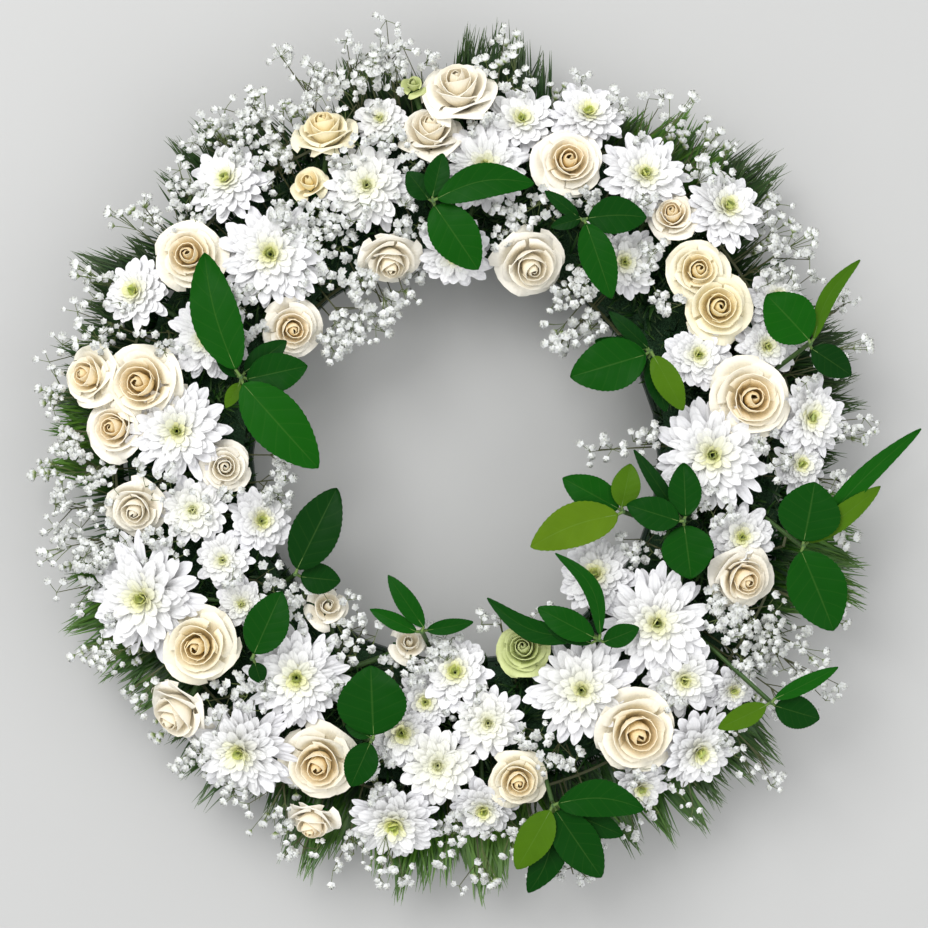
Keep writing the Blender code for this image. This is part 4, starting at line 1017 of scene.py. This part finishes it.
def shell(grid, thick):
    """Closed shell of even thickness about a grid of points, with its marks' row and column shares."""
    rows, columns = grid.shape[:2]
    down = np.gradient(grid, axis=0)
    over = np.gradient(grid, axis=1)
    normal = np.cross(down, over)
    normal /= np.maximum(np.linalg.norm(normal, axis=2, keepdims=True), 1e-12)
    points = np.concatenate(((grid + normal * thick * 0.5).reshape(-1, 3),
                             (grid - normal * thick * 0.5).reshape(-1, 3)))
    lower = rows * columns
    faces = []
    for i in range(rows - 1):
        for j in range(columns - 1):
            a = i * columns + j
            faces.append((a, a + columns, a + columns + 1, a + 1))
            faces.append((lower + a, lower + a + 1, lower + a + columns + 1, lower + a + columns))
    rim = list(range(columns))
    rim += [i * columns + columns - 1 for i in range(1, rows)]
    rim += [(rows - 1) * columns + j for j in range(columns - 2, -1, -1)]
    rim += [i * columns for i in range(rows - 2, 0, -1)]
    for k in range(len(rim)):
        a, b = rim[k], rim[(k + 1) % len(rim)]
        faces.append((a, b, lower + b, lower + a))
    u, v = np.meshgrid(np.linspace(0.0, 1.0, rows), np.linspace(-1.0, 1.0, columns), indexing="ij")
    return points, faces, np.tile(u.ravel(), 2), np.tile(v.ravel(), 2)


def sheet_shares(rows, columns):
    """Shares along a sheet, 0 to 1 down its rows, and across it, -1 to 1 over its columns."""
    return np.linspace(0.0, 1.0, rows)[:, None], np.linspace(-1.0, 1.0, columns)[None, :]


def rose_petal(rim_r, turn, openness, rng, rows, columns):
    """Curved sheet of one petal of a rose of radius 1: cupped, then rolled out at its rim."""
    share = petal_share(rim_r)
    u, v = sheet_shares(rows, columns)
    rim_r = rim_r * rng.uniform(0.96, 1.04) + 0.06 * openness * math.sin(math.pi * share)
    rim_z = 0.72 - 0.30 * share - 0.30 * share ** 2.2 + rng.uniform(-0.03, 0.03)
    base_r = 0.05 + 0.05 * share
    base_z = -0.50
    mid_r = base_r + (rim_r - base_r) * (0.98 - 0.30 * share) + 0.24 * (1.0 - share) ** 1.5
    mid_z = base_z + (rim_z - base_z) * (0.38 + 0.34 * (1.0 - share)) + 0.10 * share
    half = math.radians(112.0 - 58.0 * share ** 0.6) * rng.uniform(0.92, 1.08)
    point = 2.6 - 0.9 * share
    reach = (1.0 - (0.16 + 0.14 * share) * np.abs(v) ** point) * u
    back = 1.0 - reach
    r = back * back * base_r + 2.0 * reach * back * mid_r + reach * reach * rim_r
    z = back * back * base_z + 2.0 * reach * back * mid_z + reach * reach * rim_z
    edge = np.clip((u - 0.66) / 0.34, 0.0, 1.0) ** 2
    side_roll = 0.35 + 0.95 * np.clip(np.abs(v) * 1.3, 0.0, 1.0) ** 1.5
    roll = (0.015 + 0.13 * share) * side_roll * edge * rng.uniform(0.7, 1.4)
    r = r + roll * 0.8
    z = z - roll * (0.45 + 0.85 * share) * edge
    wave = rng.uniform(0.0, ANY_TURN)
    ripple = 0.020 * share * np.sin(v * 3.5 + wave) * u * u + 0.008 * np.sin(v * 8.0 + wave * 2.0) * edge
    r = r + ripple
    z = z + 0.9 * ripple
    wrap = half * (0.36 + 0.64 * np.sin(np.pi * 0.5 * np.clip(u * 1.3, 0.0, 1.0)))
    angle = turn + v * wrap
    r = r + (0.028 + 0.03 * share) * v * u
    return np.stack((r * np.cos(angle), r * np.sin(angle), z + 0.0 * v), axis=2)


def sepal(angle):
    """Curved sheet of one sepal under a rose of radius 1."""
    u, v = sheet_shares(6, 3)
    out = 0.14 + 0.62 * u ** 0.8
    height = -0.56 + 0.30 * u + 0.06 * v ** 2
    wide = 0.15 * (1.0 - u ** 2.2) + 0.01
    x = out * math.cos(angle) - v * wide * math.sin(angle)
    y = out * math.sin(angle) + v * wide * math.cos(angle)
    return np.stack((x, y, height), axis=2)


def green_cup():
    """Closed cup of four rings of ten points under a rose of radius 1."""
    rings = ((0.05, -0.66), (0.17, -0.60), (0.20, -0.50), (0.13, -0.42))
    points = [around(math.pi * k / 5.0, reach, height) for reach, height in rings for k in range(10)]
    faces = [(10 * i + k, 10 * i + (k + 1) % 10, 10 * i + 10 + (k + 1) % 10, 10 * i + 10 + k)
             for i in range(3) for k in range(10)]
    faces += [tuple(range(9, -1, -1)), tuple(range(30, 40))]
    return np.array(points), faces


def rose_head(batch, matrix, radius, rims, openness, tint, rng):
    """Petals, sepals and cup of one rose."""
    for k, rim in enumerate(rims):
        share = petal_share(rim)
        count = 7 if share < 0.35 else 9
        turn = k * GOLDEN_TURN + rng.uniform(-0.25, 0.25)
        grid = rose_petal(rim, turn, openness, rng, count, count)
        thick = (0.34 + 0.2 * share) * MM / radius
        batch.add_sheet(grid, thick, ROSE, matrix, share=share, tint=tint)
    for k in range(5):
        batch.add_sheet(sepal(FULL_TURN * k / 5.0 + 0.3), 0.6 * MM / radius, LEAF, matrix, tint=0.6)
    points, faces = green_cup()
    batch.add(moved(points, matrix), faces, GREEN_STEM, tint=0.3)


def build_roses():
    rng = random.Random(23)
    for name, rows in ROSES.items():
        node = "rose_" + name
        batch = Batch()
        feet = []
        for across, down, size, lift, openness, tint, *nod in rows:
            centre, axis, radius, foot = head_frame(across, down, size, lift, ROSE_HEIGHT, ROSE_FOOT, nod)
            matrix = turned(centre, axis, rng.uniform(0.0, ANY_TURN), radius)
            rims = ROSE_RIMS if size > SMALL_ROSE else ROSE_RIMS[::2]
            if size <= ROSE_BUD:
                rims = ROSE_RIMS[1::3]
            rose_head(batch, matrix, radius, rims, openness, tint, rng)
            feet.append((foot, axis, radius))
        batch.add_tubes(bloom_stems(node, feet, ROSE_STEM), 8, GREEN_STEM)
        piece = batch.build("roses_" + name)
        hand_over(piece, "rose_petal", node)


def leaf_blade(base, tip, width, bow, rng):
    """Serrated, arched leaf from base to tip, folded along its midrib and rippled between its veins."""
    length = float(np.linalg.norm(tip - base))
    ahead = unit(tip - base)
    side = unit(np.cross(up(1.0), ahead))
    over = np.cross(ahead, side)
    u, v = sheet_shares(LEAF_ROWS, LEAF_COLUMNS)
    outline = np.sin(np.pi * np.clip(u, 0.0, 1.0) ** 0.90) ** 0.66
    outline = outline * (1.0 - 0.12 * u)
    teeth = ((u * 16.0) % 1.0) * 0.055 * np.clip(np.sin(np.pi * u) * 3.0, 0.0, 1.0)
    half = 0.54 * width * (outline + teeth * np.abs(v) ** 6)
    half = np.maximum(half, 0.15 * MM)
    arch = np.sin(np.pi * u)
    cup = 0.30 * rng.uniform(0.5, 1.2)
    ripple = 0.010 * width * np.sin(u * 17.0 + np.abs(v) * 3.0 + rng.uniform(0.0, 3.0)) * np.abs(v) ** 1.5
    curl = rng.uniform(-0.06, 0.04) * width * v ** 2 * np.sin(u * 5.0 + rng.uniform(0.0, 6.0))
    high = 0.035 * length * arch + cup * 0.22 * width * (np.abs(v) ** 1.4) * outline + ripple + curl
    high = high - 0.05 * length * np.clip(u - 0.6, 0.0, 1.0) ** 2 * 4.0 * rng.uniform(0.2, 1.0)
    high = high - 0.010 * width * np.exp(-(v * 9.0) ** 2)
    sideways = bow * length * arch + v * half
    return base + ahead * (length * u)[..., None] + side * sideways[..., None] + over * high[..., None]


def build_leaves():
    rng = random.Random(5)
    for name, (fork_at, rows) in LEAVES.items():
        node = "leaf_spray_" + name
        batch = Batch()
        lines = Lines()
        levels = [row[6] for row in rows]
        height = LEAF_HEIGHT + fork_at[2] * MM
        fork = plan(fork_at[0], fork_at[1], height + min(levels) * LEAF_STEP - 3.0 * MM)
        crown = plan(fork_at[0], fork_at[1], height + max(levels) * LEAF_STEP)
        foot = stem_foot(node)
        if ring_radius(fork) < INNER_FORK_LIMIT:
            high = foot[2] + 6.0 * MM
            angle = bearing(foot)
            knees = [polar(FOAM_INNER, angle, high), polar(FOAM_INNER - 9.0 * MM, angle, high + 5.0 * MM)]
        else:
            knees = [at_height(foot, ENTRY_HEIGHT), at_height(foot, FOAM_TOP + 10.0 * MM)]
        lines.run([foot] + knees + [fork, crown], LEAF_STEM)
        for base_x, base_y, tip_x, tip_y, width, bow, level, tone in rows:
            base = plan(base_x, base_y, height + level * LEAF_STEP)
            tip = plan(tip_x, tip_y, height + level * LEAF_STEP - 1.0 * MM)
            grid = leaf_blade(base, tip, width * UNIT, bow, rng)
            # The leaflet's tone goes on as its tint: painted shade when low, the leaf's own olive when high.
            batch.add_sheet(grid, LEAF_THICK, LEAF, tint=tone)
            root = plan(fork_at[0], fork_at[1], base[2] - 0.4 * MM)
            midrib = [grid[i, LEAF_COLUMNS // 2] - up(0.45 * MM) for i in range(0, LEAF_ROWS, 4)]
            girths = [1.1 * MM, 1.0 * MM]
            girths += [0.95 * MM * (1.0 - 0.085 * k) for k in range(len(midrib) - 1)]
            lines.run([root] + midrib, girths, 0.6)
        batch.add_tubes(lines, 6, GREEN_STEM)
        piece = batch.build("rose_leaves_" + name)
        hand_over(piece, "rose_leaf", node)


def nearest_entry(spot):
    """Where a thin stem under a spot goes into the foam, and its end below the surface."""
    reach = clamp(ring_radius(spot), STEM_INNER_LIMIT, STEM_OUTER_LIMIT)
    angle = bearing(spot)
    return polar(reach, angle, FOAM_TOP), polar(reach, angle, FOAM_TOP - STEM_DEPTH)


def heart_rings():
    """Middle and radius of the part of each bloom that no floret covers."""
    return [(plan(row[0], row[1]), cover * row[2] * UNIT)
            for cover, table in ((ROSE_COVER, ROSES), (MUM_COVER, MUM_SPRAYS))
            for rows in table.values() for row in rows]


HEARTS = heart_rings()


def over_heart(spot):
    return any(math.hypot(spot[0] - middle[0], spot[1] - middle[1]) < reach for middle, reach in HEARTS)


def breath_patch(breath, across, down, size, count, rng):
    """A patch of a cloud: a stem up from the foam, its twigs and their florets."""
    middle = plan(across, down)
    reach = ring_radius(middle)
    over = clamp((reach - CLOUD_EDGE) / CLOUD_RUN, 0.0, 1.0)
    crown_height = (INNER_CLOUD_HEIGHT if reach < INNER_CLOUD_LIMIT else CLOUD_HEIGHT) - over * CLOUD_DROOP
    entry, bottom = nearest_entry(middle)
    crown = at_height(middle, crown_height)
    shaft = entry + (crown - entry) * 0.5 + up(6.0 * MM)
    breath.twigs.run((bottom, entry, shaft, crown), (0.9 * MM, 0.85 * MM, 0.7 * MM, 0.6 * MM))
    for _ in range(max(int(count * (0.20 - 0.09 * over)), 2) + 1):
        angle = rng.uniform(0.0, FULL_TURN)
        far = size * UNIT * math.sqrt(rng.uniform(0.02, 1.0)) * 0.8
        knot = crown + around(angle, far, rng.uniform(8.0, 20.0) * MM)
        start = shaft + (crown - shaft) * rng.uniform(0.3, 1.0)
        bend = (start + knot) * 0.5 + up(-2.0 * MM)
        breath.twigs.run((start, bend, knot), (0.5 * MM, 0.42 * MM, 0.36 * MM))
        for _ in range(rng.randrange(3, 7)):
            turn = rng.uniform(0.0, FULL_TURN)
            away = rng.uniform(2.0, 9.5) * MM
            spot = knot + around(turn, away, rng.uniform(-3.0, 5.0) * MM)
            girth = FLORET_SIZE * rng.uniform(0.55, 1.10) * (1.0 - 0.15 * over)
            if not over_heart(spot):
                facing = unit(spot - knot + up(9.0 * MM))
                breath.floret(knot, spot, up(0.8 * MM), facing, girth, 0.26 * MM)


def build_breath_clouds():
    """Sprays of baby's breath that stand in the foam between the blooms."""
    rng = random.Random(31)
    for name, patches in BREATH_CLOUDS.items():
        breath = Breath()
        for across, down, size, count in patches:
            breath_patch(breath, across, down, size, count, rng)
        piece = breath.build("baby_breath_cloud_" + name, 3)
        hand_over(piece, "breath_floret")


def rib_line(start, end, edge, out, height, drop):
    """Line of a rib round the foam, its two ends pushed into it."""
    line = []
    steps = max(int((end - start) / RIB_STATION), 6)
    for k in range(steps + 1):
        angle = start + (end - start) * k / steps
        inside = k in (0, steps)
        radius = edge - out * RIB_STEP_IN if inside else edge + out * RIB_STEP_OUT
        line.append(polar(radius, angle, height - (drop if inside else 0.0)))
    return line


def tips_of(node, out, limit):
    """Middle points of the ends that a ribbed node reaches out to."""
    far = [point for point in node_points(node) if (ring_radius(point) - limit) * out > 0.0]
    groups = []
    for point in far:
        for group in groups:
            if float(np.linalg.norm(group[0] - point)) < TWIG_SPACING:
                group.append(point)
                break
        else:
            groups.append([point])
    return [sum(group) / len(group) for group in groups]


def build_breath_ribs():
    """The arched ribs of baby's breath round the edges, with a cloud of florets at every twig."""
    rng = random.Random(41)
    for name, (start, end, out) in BREATH_RIBS.items():
        node = "breath_spray_" + name
        edge, limit = (FOAM_OUTER, OUTER_TWIG_LIMIT) if out > 0 else (FOAM_INNER, INNER_TWIG_LIMIT)
        breath = Breath()
        breath.twigs.run(rib_line(start, end, edge, out, BREATH_HEIGHT, 12.0 * MM), 1.3 * MM)
        for tip in tips_of(node, out, limit):
            root = polar(edge + out * RIB_STEP_OUT, bearing(tip), BREATH_HEIGHT)
            knot = root + (tip - root) * 0.66
            breath.twigs.run((root, root + (tip - root) * 0.35 + up(1.5 * MM), knot),
                             (0.7 * MM, 0.6 * MM, 0.45 * MM))
            heading = unit(tip - root)
            for k in range(FLORETS_A_TWIG):
                spread = np.array([rng.uniform(-1.0, 1.0) for _ in range(3)]) * 9.0 * MM
                spot = tip + spread if k else tip
                girth = FLORET_SIZE * rng.uniform(0.7, 1.1)
                breath.floret(knot, spot, heading * 0.8 * MM, unit(spot - knot), girth, 0.28 * MM)
        piece = breath.build("baby_breath_rib_" + name, 5)
        hand_over(piece, "breath_floret", node)


def blade(lines, root, tip, girth, tint, sag):
    """One narrow blade from root to tip that sags a little."""
    third = root + (tip - root) * 0.35 + up(sag)
    far = root + (tip - root) * 0.75 + up(sag * 0.7)
    lines.run((root, third, far, tip), (girth * 0.55, girth, girth * 0.75, girth * 0.08), tint)


def build_palms():
    """Fans of narrow blades on their ribs, the main blades where the solid needles point."""
    rng = random.Random(53)
    for name, (start, end) in PALM_RIBS.items():
        node = "palm_frond_" + name
        ribs = Lines()
        ribs.run(rib_line(start, end, FOAM_OUTER, 1.0, PALM_HEIGHT, 0.0), 1.8 * MM)
        blades = Lines()
        tips = [point for point in node_points(node) if ring_radius(point) > NEEDLE_TIP_LIMIT]
        for tip in tips:
            down, across = PLAN_CENTRE[1] - tip[1] / UNIT, PLAN_CENTRE[0] + tip[0] / UNIT
            fresh = min(TUFTS, key=lambda tuft: math.hypot(tuft[0] - across, tuft[1] - down))[2]
            for k in range(BLADES_A_TIP):
                angle = bearing(tip) + rng.uniform(-4.5, 4.5)
                share = rng.uniform(0.55, 1.0) if k else 1.0
                root = polar(RIB_RADIUS, angle, PALM_HEIGHT + rng.uniform(-1.0, 1.0) * MM)
                lean = np.array([rng.uniform(-1.0, 1.0), rng.uniform(-1.0, 1.0), rng.uniform(-0.7, 1.2)])
                end_spot = root + (tip + lean * 6.0 * MM - root) * share if k else tip
                girth = (rng.uniform(0.65, 1.0) + 0.55 * fresh) * MM
                tint = fresh + rng.uniform(-0.2, 0.2)
                blade(blades, root, end_spot, girth, tint, rng.uniform(0.0, 2.5) * MM)
        batch = Batch()
        batch.add_tubes(ribs, 8, NEEDLE)
        batch.add_tubes(blades, 3, NEEDLE, 0.4)
        piece = batch.build("palm_fan_" + name)
        hand_over(piece, "palm_blade", node)


def build_filler():
    """Short dark sprigs in the foam that fill the gaps between the stems and round the edges."""
    rng = random.Random(61)
    for part in range(4):
        lines = Lines()
        for number, near, far, height, pull, length, rise in SPRIGS:
            for _ in range(number):
                angle = part * 90.0 + rng.uniform(0.0, 90.0)
                root = polar(rng.uniform(near, far) * MM, angle, height * MM)
                outward = unit(np.array((root[0] - RING[0], root[1] - RING[1], 0.0)))
                for _ in range(4):
                    turn = rng.uniform(0.0, FULL_TURN)
                    flat = rng.uniform(0.3, 1.0) * length * MM
                    tip = root + around(turn, flat, rng.uniform(0.35, 1.2) * rise * MM)
                    tip = tip + outward * pull * rng.uniform(0.4, 1.2) * MM
                    blade(lines, root, tip, rng.uniform(0.7, 1.2) * MM, rng.uniform(0.0, 0.5), 1.5 * MM)
        batch = Batch()
        batch.add_tubes(lines, 3, NEEDLE, 0.45)
        piece = batch.build("filler_sprigs_" + str(part + 1))
        hand_over(piece, "palm_blade")


def build_base():
    """The tray and the foam keep their solids and get their finishes."""
    for node, finish in (("base_tray", TRAY), ("foam_ring", FOAM)):
        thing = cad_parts[node]
        thing.data.materials.clear()
        thing.data.materials.append(finish)


def build_studio():
    """Pale floor, two soft lights, a pale sky and a camera straight above."""
    corners = [(FLOOR_REACH * x, FLOOR_REACH * y, 0.0) for x, y in ((-1, -1), (1, -1), (1, 1), (-1, 1))]
    floor = marked_mesh("floor", corners, (), [(0, 1, 2, 3)])
    floor.materials.append(floor_finish())
    stage = bpy.data.objects.new("floor", floor)
    bpy.context.scene.collection.objects.link(stage)
    stage.location.z = -FLOOR_DROP
    for name, place, size, power in (("key_light", (-0.9, 1.1, 2.4), 1.5, 46.0),
                                     ("fill_light", (1.8, -1.0, 2.2), 2.2, 18.0)):
        lamp = bpy.data.lights.new(name, "AREA")
        lamp.size = size
        lamp.energy = power
        light = bpy.data.objects.new(name, lamp)
        light.location = place
        light.rotation_euler = (-Vector(place)).to_track_quat("-Z", "Y").to_euler()
        bpy.context.scene.collection.objects.link(light)
    world = bpy.data.worlds.new("studio")
    world.use_nodes = True
    sky = world.node_tree.nodes["Background"]
    sky.inputs["Color"].default_value = (0.97, 0.98, 1.0, 1.0)
    sky.inputs["Strength"].default_value = 0.83
    bpy.context.scene.world = world
    lens = bpy.data.cameras.new("camera")
    lens.sensor_width = SENSOR_WIDTH
    lens.lens = SENSOR_WIDTH * (CAMERA_HEIGHT - BLOOM_PLANE) / (PICTURE_SIZE * UNIT)
    camera = bpy.data.objects.new("camera", lens)
    middle = plan(*PICTURE_CENTRE)
    camera.location = (middle[0], middle[1], CAMERA_HEIGHT)
    bpy.context.scene.collection.objects.link(camera)
    bpy.context.scene.camera = camera
    bpy.context.scene.view_settings.view_transform = "Standard"


build_base()
build_chrysanthemums()
build_roses()
build_leaves()
build_breath_ribs()
build_breath_clouds()
build_palms()
build_filler()
build_studio()
